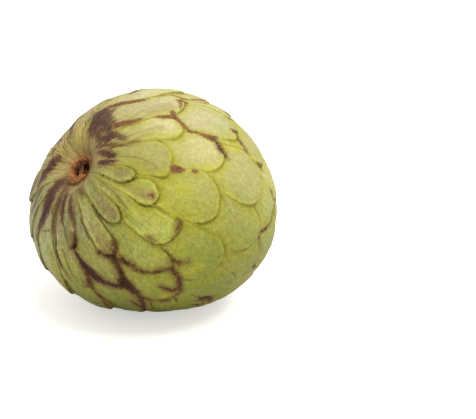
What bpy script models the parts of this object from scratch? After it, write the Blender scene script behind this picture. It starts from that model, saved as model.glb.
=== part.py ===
"""Custard apple: one whole fruit with the torn woody stub of its stalk.

Two pieces:
  fruit      the single solid fruit: a slightly lopsided round body with a
             funnel-shaped pit at its stalk end and a small flat underneath,
             where it rests on its own skin
  stem_stub  the short torn ring of stalk that sits in the pit, hollow in the
             middle

Frame: metres, +Z up, the origin on the resting plane under the middle of the
fruit.  The stalk axis lies in the XZ plane.  The stalk end looks towards -X
and upwards, the blossom end towards +X and downwards.
"""
import math

import bmesh
import bpy
from mathutils import Matrix, Vector

# ------------------------------------------------------------- dimensions --
MEAN_RADIUS = 0.0482       # mean radius of the body
STALK_TILT = math.radians(37.7)   # stalk axis above the horizontal

# The funnel at the stalk: polar angle from the stalk axis in degrees, and the
# radius there as a share of the body's.  Up to 8.5 degrees it is the seat of
# the stalk, then the wall of the pit, which rolls over into the shoulder.
FUNNEL = ((0, 0.800), (5, 0.803), (8.5, 0.818), (11.5, 0.872), (15, 0.932),
          (19, 0.973), (23, 0.993), (28, 1.0), (180, 1.0))

# Lopsidedness of the body, as shares of its radius.  x, y and z are the parts
# of a direction across the stalk axis (upwards), along +Y, and along the stalk.
LEAN_UP = 0.030            # times x
LEAN_SIDE = -0.020         # times y
SKEW_SIDE = -0.040         # times x*y
SKEW_END = -0.105          # times x*z
SKEW_BACK = 0.040          # times y*z
OVAL = -0.012              # times x*x - y*y
SQUAT = -0.012             # times (3*z*z - 1)/2
PEAR = -0.020              # times z*(5*z*z - 3)/2
SHOULDER = -0.017          # times y*(5*z*z - 1)/2
THREE_SIDED = 0.027        # times y*(3*x*x - y*y)
FOUR_SIDED = 0.016         # times z*(x*x - y*y)

REST_DEPTH = 0.0018        # how far the resting flat is pressed into the body

# Stub of the stalk
STUB_RADIUS = 0.0056
STUB_TOP = 0.0405          # its torn rim, measured along the stalk axis
STUB_HOLLOW = 0.0031       # radius of the hollow in its middle
STUB_HOLLOW_DEPTH = 0.0022
STUB_GAP = 0.0003          # room between the stub and the seat under it

SEGMENTS = 72              # facets around the stalk axis


# ------------------------------------------------------------ body surface --
def turned(points, x):
    """Smooth monotone curve through the points of a turned outline."""
    xs = [p[0] for p in points]
    ys = [p[1] for p in points]
    n = len(xs)
    h = [xs[i + 1] - xs[i] for i in range(n - 1)]
    d = [(ys[i + 1] - ys[i]) / h[i] for i in range(n - 1)]
    m = [0.0] * n
    for i in range(1, n - 1):
        if d[i - 1] * d[i] > 0.0:
            w1 = 2 * h[i] + h[i - 1]
            w2 = h[i] + 2 * h[i - 1]
            m[i] = (w1 + w2) / (w1 / d[i - 1] + w2 / d[i])
    i = 0
    while i < n - 2 and x >= xs[i + 1]:
        i += 1
    t = (x - xs[i]) / h[i]
    return ((1 + 2 * t) * (1 - t) ** 2 * ys[i] + t * (1 - t) ** 2 * h[i] * m[i]
            + t * t * (3 - 2 * t) * ys[i + 1] + t * t * (t - 1) * h[i] * m[i + 1])


def direction(polar, longitude):
    return Vector((math.sin(polar) * math.cos(longitude),
                   math.sin(polar) * math.sin(longitude), math.cos(polar)))


def lopsided(d):
    x, y, z = d
    return (LEAN_UP * x + LEAN_SIDE * y + SKEW_SIDE * x * y + SKEW_END * x * z
            + SKEW_BACK * y * z + OVAL * (x * x - y * y)
            + SQUAT * (3 * z * z - 1) / 2 + PEAR * z * (5 * z * z - 3) / 2
            + SHOULDER * y * (5 * z * z - 1) / 2
            + THREE_SIDED * y * (3 * x * x - y * y)
            + FOUR_SIDED * z * (x * x - y * y))


def body_radius(d):
    polar = math.degrees(math.acos(max(-1.0, min(1.0, d.z))))
    return MEAN_RADIUS * turned(FUNNEL, polar) * (1 + lopsided(d))


# Fruit frame (x across the stalk and upwards, y along +Y, z along the stalk)
# to the world's directions.
S, C = math.sin(STALK_TILT), math.cos(STALK_TILT)
FRUIT_TO_WORLD = Matrix(((S, 0, -C), (0, 1, 0), (C, 0, S)))


# ------------------------------------------------------------------ helpers --
def clear_scene():
    for ob in list(bpy.data.objects):
        bpy.data.objects.remove(ob, do_unlink=True)


def material(name, colour, roughness):
    mat = bpy.data.materials.new(name)
    mat.use_nodes = True
    bsdf = mat.node_tree.nodes["Principled BSDF"]
    bsdf.inputs["Base Color"].default_value = (*colour, 1.0)
    bsdf.inputs["Roughness"].default_value = roughness
    bsdf.inputs["Metallic"].default_value = 0.0
    mat.diffuse_color = (*colour, 1.0)
    return mat


def finish(name, bm, mat, sharp_degrees):
    bmesh.ops.recalc_face_normals(bm, faces=bm.faces[:])
    if bm.calc_volume(signed=True) < 0:
        bmesh.ops.reverse_faces(bm, faces=bm.faces[:])
    mesh = bpy.data.meshes.new(name)
    bm.to_mesh(mesh)
    bm.free()
    mesh.shade_smooth()
    mesh.set_sharp_from_angle(angle=math.radians(sharp_degrees))
    ob = bpy.data.objects.new(name, mesh)
    ob.data.materials.append(mat)
    bpy.context.scene.collection.objects.link(ob)
    return ob


def rings_to_bmesh(rings, first_pole=None, last_pole=None):
    """Skin a list of closed rings, with a pole vertex at either end."""
    bm = bmesh.new()
    rows = [[bm.verts.new(p) for p in ring] for ring in rings]
    n = len(rows[0])
    for a, b in zip(rows, rows[1:]):
        for i in range(n):
            j = (i + 1) % n
            bm.faces.new((a[i], a[j], b[j], b[i]))
    if first_pole is not None:
        v = bm.verts.new(first_pole)
        for i in range(n):
            bm.faces.new((v, rows[0][(i + 1) % n], rows[0][i]))
    if last_pole is not None:
        v = bm.verts.new(last_pole)
        for i in range(n):
            bm.faces.new((v, rows[-1][i], rows[-1][(i + 1) % n]))
    return bm


# -------------------------------------------------------------------- fruit --
def polar_steps():
    """Ring angles: fine in the pit, 4 degrees over the body."""
    steps = [2.5, 5.0, 7.0, 8.5, 9.7, 11.0, 12.5, 14.0, 16.0, 18.5, 21.5]
    a = 25.0
    while a < 177.0:
        steps.append(a)
        a += 4.0
    return steps


def fruit_mesh():
    rings = []
    for polar in polar_steps():
        ring = []
        for k in range(SEGMENTS):
            d = direction(math.radians(polar), 2 * math.pi * k / SEGMENTS)
            ring.append(FRUIT_TO_WORLD @ (d * body_radius(d)))
        rings.append(ring)
    top = direction(0.0, 0.0)
    end = direction(math.pi, 0.0)
    bm = rings_to_bmesh(rings, FRUIT_TO_WORLD @ (top * body_radius(top)),
                        FRUIT_TO_WORLD @ (end * body_radius(end)))
    # The resting flat: cut the underside square and close it with one face.
    low = min(v.co.z for v in bm.verts) + REST_DEPTH
    cut = bmesh.ops.bisect_plane(
        bm, geom=bm.verts[:] + bm.edges[:] + bm.faces[:], dist=1e-7,
        plane_co=(0, 0, low), plane_no=(0, 0, -1), clear_outer=True)
    edges = [e for e in cut["geom_cut"] if isinstance(e, bmesh.types.BMEdge)]
    bmesh.ops.remove_doubles(bm, verts=bm.verts[:], dist=2e-5)
    edges = [e for e in bm.edges if e.is_boundary]
    bmesh.ops.contextual_create(bm, geom=edges)
    return bm


# --------------------------------------------------------------------- stub --
def torn(k, n):
    """Uneven height of the torn rim around the stub, about -1 to 1."""
    a = 2 * math.pi * k / n
    return (0.45 * math.sin(2 * a + 0.6) + 0.30 * math.sin(5 * a + 2.1)
            + 0.25 * math.sin(9 * a + 4.0))


def seat_height(r, longitude):
    """Height of the seat along the stalk axis, at radius r."""
    polar = math.atan2(r, MEAN_RADIUS * FUNNEL[0][1])
    for _ in range(12):
        polar = math.asin(min(1.0, r / body_radius(direction(polar, longitude))))
    return body_radius(direction(polar, longitude)) * math.cos(polar)


def stub_mesh():
    n = 40

    def ring(radius, height=None, tear=0.0, wobble=0.0, rise=0.0):
        """A ring of the stub; with no height it follows the seat below it."""
        pts = []
        for k in range(n):
            a = 2 * math.pi * k / n
            r = radius * (1 + wobble * math.sin(3 * a + 1.0)
                          + 0.6 * wobble * math.sin(7 * a))
            if height is None:
                z = seat_height(r, a) + STUB_GAP + rise
            else:
                z = height + tear * torn(k, n)
            pts.append(FRUIT_TO_WORLD @ Vector((r * math.cos(a), r * math.sin(a), z)))
        return pts

    rings = [
        ring(STUB_RADIUS * 0.40),
        ring(STUB_RADIUS * 0.78),
        ring(STUB_RADIUS * 0.90, wobble=0.03, rise=0.0003),
        ring(STUB_RADIUS * 0.96, wobble=0.04, rise=0.0010),
        ring(STUB_RADIUS * 0.92, STUB_TOP - 0.0006, 0.0004, 0.05),
        ring(STUB_RADIUS * 0.82, STUB_TOP, 0.0005, 0.05),
        ring(STUB_RADIUS * 0.68, STUB_TOP - 0.0003, 0.0004, 0.05),
        ring(STUB_HOLLOW, STUB_TOP - 0.0010, 0.0003, 0.05),
        ring(STUB_HOLLOW * 0.86, STUB_TOP - 0.6 * STUB_HOLLOW_DEPTH, 0.0, 0.04),
        ring(STUB_HOLLOW * 0.55, STUB_TOP - STUB_HOLLOW_DEPTH * 0.93),
    ]
    return rings_to_bmesh(
        rings,
        FRUIT_TO_WORLD @ Vector((0, 0, seat_height(0.0, 0.0) + STUB_GAP)),
        FRUIT_TO_WORLD @ Vector((0, 0, STUB_TOP - STUB_HOLLOW_DEPTH)))


# -------------------------------------------------------------------- build --
def main():
    clear_scene()
    skin = material("custard_apple_skin", (0.36, 0.42, 0.12), 0.62)
    wood = material("torn_stalk", (0.22, 0.08, 0.03), 0.85)

    fruit = fruit_mesh()
    xs = [v.co.x for v in fruit.verts]
    ys = [v.co.y for v in fruit.verts]
    zs = [v.co.z for v in fruit.verts]
    shift = Vector((-(min(xs) + max(xs)) / 2, -(min(ys) + max(ys)) / 2, -min(zs)))

    stub = stub_mesh()
    for bm in (fruit, stub):
        bmesh.ops.translate(bm, verts=bm.verts[:], vec=shift)
    finish("fruit", fruit, skin, 50)
    finish("stem_stub", stub, wood, 60)


main()
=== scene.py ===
"""Looks of the custard apple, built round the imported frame.

The fruit's skin is one fine mesh.  Its shape is the body of the CAD model with
the overlapping scales laid over it: each scale is a tongue that runs down a
meridian from the stalk and ends in a rounded tip, and a scale nearer to the
stalk lies over the ones farther away.  The same field of scales gives the
relief, the seams, the corky brown edges and the tints, which the material
reads as attributes.
"""
import math

import bpy
import numpy as np
from mathutils import Matrix, Vector


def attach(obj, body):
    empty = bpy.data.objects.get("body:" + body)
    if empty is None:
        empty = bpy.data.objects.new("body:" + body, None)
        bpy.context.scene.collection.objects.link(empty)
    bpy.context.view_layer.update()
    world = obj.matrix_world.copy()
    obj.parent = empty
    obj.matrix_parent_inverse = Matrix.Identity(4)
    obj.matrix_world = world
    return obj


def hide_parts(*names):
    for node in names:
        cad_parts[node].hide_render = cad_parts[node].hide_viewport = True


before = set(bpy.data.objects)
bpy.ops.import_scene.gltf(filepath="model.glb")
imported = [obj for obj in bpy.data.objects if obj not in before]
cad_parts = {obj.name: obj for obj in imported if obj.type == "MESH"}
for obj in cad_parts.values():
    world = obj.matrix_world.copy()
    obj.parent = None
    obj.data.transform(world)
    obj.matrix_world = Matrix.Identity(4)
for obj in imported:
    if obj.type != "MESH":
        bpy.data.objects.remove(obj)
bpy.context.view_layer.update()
scene = bpy.context.scene

# ------------------------------------------------------------ body surface --
MEAN_RADIUS = 0.0482
STALK_TILT = math.radians(37.7)
FUNNEL = ((0, 0.800), (5, 0.803), (8.5, 0.818), (11.5, 0.872), (15, 0.932),
          (19, 0.973), (23, 0.993), (28, 1.0), (180, 1.0))
REST_DEPTH = 0.0018
SEGMENTS = 72
S, C = math.sin(STALK_TILT), math.cos(STALK_TILT)
TO_WORLD = np.array(((S, 0, -C), (0, 1, 0), (C, 0, S)))
MM_PER_DEG = MEAN_RADIUS * 1000 * math.pi / 180


def turned(points, x):
    """Smooth monotone curve through the points of a turned outline."""
    xs = np.array([p[0] for p in points], float)
    ys = np.array([p[1] for p in points], float)
    h, m = np.diff(xs), np.zeros(len(xs))
    d = np.diff(ys) / h
    for i in range(1, len(xs) - 1):
        if d[i - 1] * d[i] > 0:
            w1, w2 = 2 * h[i] + h[i - 1], h[i] + 2 * h[i - 1]
            m[i] = (w1 + w2) / (w1 / d[i - 1] + w2 / d[i])
    i = np.clip(np.searchsorted(xs, x, side="right") - 1, 0, len(h) - 1)
    t = (x - xs[i]) / h[i]
    return ((1 + 2 * t) * (1 - t) ** 2 * ys[i] + t * (1 - t) ** 2 * h[i] * m[i]
            + t * t * (3 - 2 * t) * ys[i + 1] + t * t * (t - 1) * h[i] * m[i + 1])


def lopsided(d):
    x, y, z = d[..., 0], d[..., 1], d[..., 2]
    return (0.030 * x - 0.020 * y - 0.040 * x * y - 0.105 * x * z
            + 0.040 * y * z - 0.012 * (x * x - y * y)
            - 0.012 * (3 * z * z - 1) / 2 - 0.020 * z * (5 * z * z - 3) / 2
            - 0.017 * y * (5 * z * z - 1) / 2
            + 0.027 * y * (3 * x * x - y * y) + 0.016 * z * (x * x - y * y))


def body_radius(d):
    polar = np.degrees(np.arccos(np.clip(d[..., 2], -1, 1)))
    return MEAN_RADIUS * turned(FUNNEL, polar) * (1 + lopsided(d))


def skin_radius(d):
    """The same body with the bottom of the pit a little to one side."""
    polar = np.degrees(np.arccos(np.clip((d * PIT).sum(-1), -1, 1)))
    return MEAN_RADIUS * turned(FUNNEL, polar) * (1 + lopsided(d))


def direction(polar_deg, lon_deg):
    a, t = np.radians(polar_deg), np.radians(lon_deg)
    return np.stack([np.sin(a) * np.cos(t), np.sin(a) * np.sin(t), np.cos(a)], -1)


PIT_SHIFT = 3.2                        # degrees, towards longitude 107
PIT = direction(PIT_SHIFT, 107.0)


def body_centre():
    """Where the CAD model put the point that the polar angles turn about."""
    steps = [2.5, 5.0, 7.0, 8.5, 9.7, 11.0, 12.5, 14.0, 16.0, 18.5, 21.5]
    a = 25.0
    while a < 177.0:
        steps.append(a)
        a += 4.0
    pol, lon = np.meshgrid(steps, np.arange(SEGMENTS) * 360 / SEGMENTS, indexing="ij")
    d = np.concatenate([direction(pol, lon).reshape(-1, 3),
                        direction(np.array([0.0, 180.0]), np.zeros(2))])
    p = (d * body_radius(d)[:, None]) @ TO_WORLD.T
    lo, hi = p.min(0), p.max(0)
    return np.array([-(lo[0] + hi[0]) / 2, -(lo[1] + hi[1]) / 2, -(lo[2] + REST_DEPTH)])


CENTRE = body_centre()

# -------------------------------------------------------------------- noise --


def _cell(i, seed):
    i = i.astype(np.int64).astype(np.uint32)
    h = (i[..., 0] * np.uint32(374761393) + i[..., 1] * np.uint32(668265263)
         + i[..., 2] * np.uint32(2246822519) + np.uint32(seed * 40503 + 977))
    h = (h ^ (h >> np.uint32(13))) * np.uint32(1274126177)
    h = (h ^ (h >> np.uint32(15))) * np.uint32(2654435761)
    h = h ^ (h >> np.uint32(16))
    return h.astype(np.float64) / 4294967295.0 * 2 - 1


def noise(p, seed=0):
    """Smooth value noise, about -1 to 1."""
    i = np.floor(p)
    f = p - i
    f = f * f * f * (f * (f * 6 - 15) + 10)
    out = 0.0
    for dx in (0, 1):
        wx = f[..., 0] if dx else 1 - f[..., 0]
        for dy in (0, 1):
            wy = f[..., 1] if dy else 1 - f[..., 1]
            for dz in (0, 1):
                wz = f[..., 2] if dz else 1 - f[..., 2]
                out = out + wx * wy * wz * _cell(i + np.array([dx, dy, dz]), seed)
    return out


def fbm(p, seed=0, octaves=3, gain=0.5):
    out, amp, tot = 0.0, 1.0, 0.0
    for k in range(octaves):
        out = out + amp * noise(p * 2.03 ** k + 17.3 * k, seed + 31 * k)
        tot += amp
        amp *= gain
    return out / tot


def smooth(a, b, x):
    t = np.clip((x - a) / (b - a), 0, 1)
    return t * t * (3 - 2 * t)


def srgb(r, g, b):
    c = np.array([r, g, b], float) / 255
    return np.where(c <= 0.04045, c / 12.92, ((c + 0.055) / 1.055) ** 2.4)


# ------------------------------------------------------------------- scales --
# Each scale: longitude of its middle, half width, polar angle of its tip,
# length of the rounded tip, how far the tip leans to greater longitude (all in
# degrees), bluntness of the tip and tan bloom at the tip.  Two more numbers,
# where given, are degrees per degree going up from the tip: how far the scale
# drifts to greater longitude, and how much it widens on that side.  A scale
# with no width only keeps its place free.
PLACED = (
    # round the stalk
    (206.5, 6.2, 42.5, 9, -1.8, 1.7, 0.9),
    (233.0, 7.6, 51.6, 9, -0.6, 2.0, 0.9),
    (251.0, 8.8, 41.8, 12, 1.2, 1.9, 0.8),
    (285.0, 9.3, 37.4, 9, 2.6, 2.0, 0.6),
    (278.0, 8.8, 52.2, 12, -1.6, 2.2, 0.45),
    (302.5, 13.8, 53.8, 13, -3.5, 2.6, 0.15),
    (326.5, 10.6, 59.6, 13, -1.6, 2.2, 0.1),
    (193.5, 0.0, 37.0, 8, 0.5, 1.8, 0.5),
    (184.5, 0.0, 33.0, 8, 0.0, 1.7, 0.5),
    (175.5, 0.0, 46.0, 9, -0.5, 1.8, 0.4),
    (166.0, 0.0, 36.5, 9, -1.5, 1.7, 0.5),
    (157.0, 0.0, 47.0, 10, 0.5, 1.8, 0.5),
    (147.0, 0.0, 35.0, 9, 0.5, 1.8, 0.6),
    # second and third rows
    (263.2, 9.4, 66.6, 12, 2.4, 2.5, 0.1),
    (246.0, 10.6, 76.6, 17, 4.0, 1.9, 0.05),
    (218.5, 11.2, 67.6, 17, 3.0, 1.9, 0.1),
    (198.0, 9.0, 65.2, 13, 1.6, 2.0, 0.1),
    (237.0, 12.4, 91.6, 16, -0.8, 2.1, 0.05),
    (213.0, 11.4, 99.0, 18, -4.5, 2.0, 0.1),
    (191.0, 10.8, 91.5, 17, -1.5, 2.0, 0.05),
    (183.0, 0.0, 64.0, 12, 0.0, 2.0, 0.2),
    (176.5, 10.0, 82.0, 34, -5.0, 1.6, 0.2),
    (157.0, 9.5, 72.0, 20, 0.0, 1.9, 0.2),
    (286.0, 13.4, 79.0, 14, 0.0, 2.2, 0.1),
    (311.0, 12.4, 79.4, 15, 1.0, 2.0, 0.05),
    (334.0, 11.8, 91.4, 15, -1.0, 2.1, 0.05),
    (350.0, 12.8, 67.2, 14, 3.0, 2.1, 0.1, 0.0, 1.15),
    (14.0, 12.0, 77.5, 30, -4.0, 2.2, 0.1, 1.15, 0.0),
    (2.0, 12.5, 88.0, 14, 2.0, 2.1, 0.2),
    (261.0, 13.0, 95.0, 15, 1.0, 2.1, 0.05),
    (306.0, 13.5, 103.0, 15, 0.0, 2.1, 0.05),
    (284.0, 12.5, 108.0, 15, 0.0, 2.1, 0.05),
    (229.0, 13.0, 115.0, 16, 1.0, 2.1, 0.05),
    (251.0, 12.5, 118.0, 16, 0.0, 2.1, 0.05),
    (46.0, 15.0, 54.0, 14, 0.0, 2.0, 0.1, 0.8, 0.0),
    (74.0, 14.0, 58.0, 14, 0.0, 2.0, 0.1),
    (100.0, 13.0, 52.0, 14, 0.0, 2.0, 0.1),
    (124.0, 11.0, 47.0, 12, 0.0, 2.0, 0.2),
)


def angle_between(a1, t1, a2, t2):
    d = (direction(np.asarray(a1, float), np.asarray(t1, float))
         * direction(np.asarray(a2, float), np.asarray(t2, float))).sum(-1)
    return np.degrees(np.arccos(np.clip(d, -1, 1)))


# where the three longest scales count from when the scales are put in order
BASE = {82.0: (78.0, 171.5), 72.0: (63.0, 160.0), 77.5: (60.5, 17.0)}


def grown_scales():
    """The rest of the scales, in a spiral like the placed ones."""
    rng = np.random.default_rng(7)
    tips = [BASE.get(p[2], (p[2], p[0] + p[4])) for p in PLACED]
    grown = []
    turn = 137.508
    count = 86
    z0, z1 = math.cos(math.radians(35)), math.cos(math.radians(174))
    for n in range(count):
        z = z0 + (z1 - z0) * (n + 0.5) / count
        pol = math.degrees(math.acos(z))
        lon = (n * turn + 20) % 360
        window = 150 < lon < 360 or lon < 6
        if (window and pol < 93) or pol < 46 or pol > 157:
            continue
        if min(angle_between(pol, lon, a, t) for a, t in tips) < 12.5:
            continue
        grown.append([pol, lon])
    grown = np.array(grown)
    fixed = np.array(tips)
    for _ in range(30):      # spread them evenly against each other
        everyone = np.concatenate([grown, fixed])
        dg = direction(grown[:, 0], grown[:, 1])
        de = direction(everyone[:, 0], everyone[:, 1])
        ang = np.degrees(np.arccos(np.clip(dg @ de.T, -1, 1)))
        push = np.where((ang > 1e-6) & (ang < 19), (19 - ang) / 19, 0)
        move = (push[..., None] * (dg[:, None] - de[None])).sum(1) * 0.06
        dg = dg + move
        dg /= np.linalg.norm(dg, axis=1)[:, None]
        pol = np.degrees(np.arccos(np.clip(dg[:, 2], -1, 1)))
        grown = np.stack([np.clip(pol, 34, 158),
                          np.degrees(np.arctan2(dg[:, 1], dg[:, 0])) % 360], 1)
    out = []
    for pol, lon in grown:
        r = rng.random(8)
        half_mm = np.interp(pol, (34, 45, 62, 120, 150, 172), (5.4, 7.0, 9.6, 9.8, 8.2, 4.5))
        half = half_mm * (0.92 + 0.16 * r[0]) / (MM_PER_DEG * max(0.12, math.sin(math.radians(pol - 4))))
        length = (11 + 5 * r[1]) * np.interp(pol, (34, 60, 140, 174), (0.8, 1.0, 1.0, 0.6))
        arcs = []
        if r[2] < 0.80:
            a = -95 + 90 * r[3]
            arcs.append((a, a + 50 + 90 * r[4], 0.12 + 0.6 * r[5] ** 2))
        if r[6] < 0.35:
            side = -1 if r[7] < 0.5 else 1
            lo, hi = sorted((side * 60, side * 170))
            arcs.append((lo, hi, 0.25 + 0.5 * r[5]))
        if 135 < lon < 172 and pol < 75:
            arcs = []
        tan = np.interp(pol, (34, 60, 90), (0.7, 0.25, 0.06)) * (0.5 + r[4])
        out.append((lon, half, pol, length, (r[6] - 0.5) * 5, 1.8 + 0.6 * r[7], tan, 0.0, 0.0, tuple(arcs)))
    # small scales that close the blossom end
    z0, z1 = math.cos(math.radians(156.5)), math.cos(math.radians(177.0))
    for n in range(19):
        r = rng.random(4)
        pol = math.degrees(math.acos(z0 + (z1 - z0) * (n + 0.5) / 19)) + 1.6 * (r[0] - 0.5)
        lon = (n * turn + 65 + 8 * (r[1] - 0.5)) % 360
        half_mm = np.interp(pol, (157, 167, 177), (6.4, 5.0, 2.8)) * (0.9 + 0.2 * r[2])
        half = min(85.0, half_mm / (MM_PER_DEG * math.sin(math.radians(pol - 4))))
        length = np.interp(pol, (157, 177), (10.5, 7.0))
        arcs = ((-60 + 60 * r[1], 20 + 60 * r[2], 0.10 + 0.25 * r[3]),) if r[3] > 0.5 else ()
        out.append((lon, half, pol, length, 5 * (r[2] - 0.5), 2.1, 0.05, 0.0, 0.0, arcs))
    return out


SCALES = sorted(list(PLACED) + grown_scales(), key=lambda s: BASE.get(s[2], (s[2],))[0])


def scale_field(pol, lon, p_mm):
    """Which scale shows at each point, and how far it lies from the edges.

    pol and lon are in degrees; p_mm are the points in mm, for the noise that
    makes the edges waver.
    """
    wav = 0.95
    a = (pol + (wav * noise(p_mm / 9.0, 3) + 0.40 * noise(p_mm / 3.6, 5)) / MM_PER_DEG)
    sin_a = np.maximum(np.sin(np.radians(pol)), 0.12)
    w = (wav * noise(p_mm / 9.0, 11) + 0.40 * noise(p_mm / 3.6, 13)) / MM_PER_DEG
    near = smooth(12, 32, pol)
    t = lon + w / sin_a * (0.35 + 0.65 * near)

    n = len(pol)
    owner = np.full(n, -1)
    own_d = np.full(n, 99.0)
    own_u = np.zeros(n)
    own_v = np.zeros(n)
    own_cork = np.zeros(n)
    up_d = np.full(n, 99.0)
    up_tip = np.zeros(n)
    up_cork = np.zeros(n)
    for k, scale in enumerate(SCALES):
        mid, half, tip, length, lean, blunt, tan = scale[:7]
        drift, flare = scale[7:9] if len(scale) > 8 else (0.0, 0.0)
        arcs = scale[9] if len(scale) > 9 else ()
        if half <= 0:
            continue
        free = owner < 0
        idx = np.nonzero(free & (a < tip + 14))[0]
        if len(idx) == 0:
            continue
        ai, sa = a[idx], sin_a[idx]
        start = tip - length
        x = (ai - start) / length
        xc = np.clip(x, 0, None)
        back = np.clip(start - ai, 0, 40)
        dt = (t[idx] - mid - lean * xc ** 2 - drift * back + 180) % 360 - 180
        w_deg = half * (1 - 0.0035 * back) + np.where(dt > 0, flare * np.minimum(back, 22), 0)
        v = dt / w_deg
        w_mm = w_deg * MM_PER_DEG * sa
        l_mm = length * MM_PER_DEG
        q = (np.abs(v) ** blunt + xc ** blunt) ** (1 / blunt)
        qs = np.maximum(q, 1e-6)
        grad = np.sqrt((np.maximum(np.abs(v), 1e-6) ** (blunt - 1) / w_mm) ** 2
                       + (xc ** (blunt - 1) / l_mm) ** 2) * qs ** (1 - blunt)
        d = np.where(x > 0, (1 - q) / np.maximum(grad, 1e-6), (1 - np.abs(v)) * w_mm)
        round_ = np.where(x > 0, np.degrees(np.arctan2(v, np.maximum(x, 1e-6))),
                          np.sign(v) * (90 + 3 * (start - ai)))
        cork = np.zeros(len(idx))
        for lo, hi, width in arcs:
            on = smooth(lo - 12, lo + 6, round_) * (1 - smooth(hi - 6, hi + 12, round_))
            cork = np.maximum(cork, on * width * (1 - smooth(4, 16, back)))
        inside = d > 0
        ii = idx[inside]
        owner[ii] = k
        own_d[ii] = d[inside]
        own_u[ii] = x[inside]
        own_v[ii] = v[inside]
        own_cork[ii] = cork[inside]
        oo = idx[~inside]
        e = -d[~inside]
        closer = e < up_d[oo]
        oc = oo[closer]
        up_d[oc] = e[closer]
        up_cork[oc] = cork[~inside][closer]
        up_tip[oc] = smooth(-0.2, 0.8, x[~inside][closer])
    rest = owner < 0
    owner[rest] = len(SCALES) - 1
    own_d[rest] = 6.0
    return dict(owner=owner, own_d=own_d, own_u=own_u, own_v=own_v, own_cork=own_cork,
                up_d=up_d, up_tip=up_tip, up_cork=up_cork)


# ------------------------------------------------------------------- stains --
# Strokes on the skin: (longitude, polar angle, half width in mm) along the
# stroke, and a fourth number where a stroke changes strength.  RUSTY strokes
# are red-brown scabs, CORKY ones dark brown scars, SMOKY ones purple-brown
# smudges that run in streaks from the stalk, MOSSY ones nearly black-green.
# VEINS are hair lines, TANNED the rubbed tips of the scales near the stalk and
# FRESH the bright green skin beside some creases.
RUSTY = (
    ((19.5, 38.6, 1.1), (13.0, 41.0, 1.5), (6.5, 44.2, 1.2), (3.5, 47.4, 0.5), (1.0, 50.5, 0.1)),
    ((347.5, 29.8, 1.3), (341.5, 35.6, 0.95), (339.4, 41.0, 0.15)),
    ((359.2, 64.3, 0.18), (358.0, 66.6, 0.3), (354.4, 68.7, 0.28), (352.3, 72.0, 0.15)),
    ((352.0, 73.2, 0.15), (354.2, 79.0, 0.42), (356.4, 84.2, 0.40), (358.0, 87.0, 0.15)),
    ((351.4, 64.9, 0.30), (350.6, 66.4, 0.60), (348.6, 67.2, 0.35)),
    ((349.8, 64.9, 0.18), (346.0, 63.4, 0.16), (343.4, 61.9, 0.05)),
    ((337.4, 47.4, 0.20), (336.5, 51.0, 0.80), (335.7, 54.6, 0.85), (335.2, 57.0, 0.75)),
    ((340.2, 57.1, 0.50), (337.4, 57.0, 0.55)),
    ((335.0, 56.7, 0.75), (329.7, 58.1, 0.55), (325.7, 59.8, 0.55), (323.6, 60.8, 0.20)),
    ((323.3, 60.9, 0.08), (322.8, 64.2, 0.12), (322.2, 67.3, 0.30)),
    ((322.2, 67.3, 0.35), (321.2, 70.3, 0.75), (321.6, 73.7, 0.50), (323.0, 76.6, 0.12)),
    ((330.8, 87.0, 0.55), (331.2, 89.4, 0.55)),
    ((296.9, 55.0, 1.05), (297.3, 56.6, 0.90), (297.6, 58.8, 0.20)),
    ((298.5, 63.4, 0.32), (298.8, 64.4, 0.26)),
    ((277.9, 48.4, 0.25), (276.6, 49.8, 0.20)),
    ((20.6, 54.2, 0.45), (20.0, 58.0, 0.45)),
    ((88.1, 27.1, 0.5), (92.2, 27.7, 0.3)),
    ((276.6, 46.8, 0.10), (277.6, 48.6, 0.20)),
)
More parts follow.
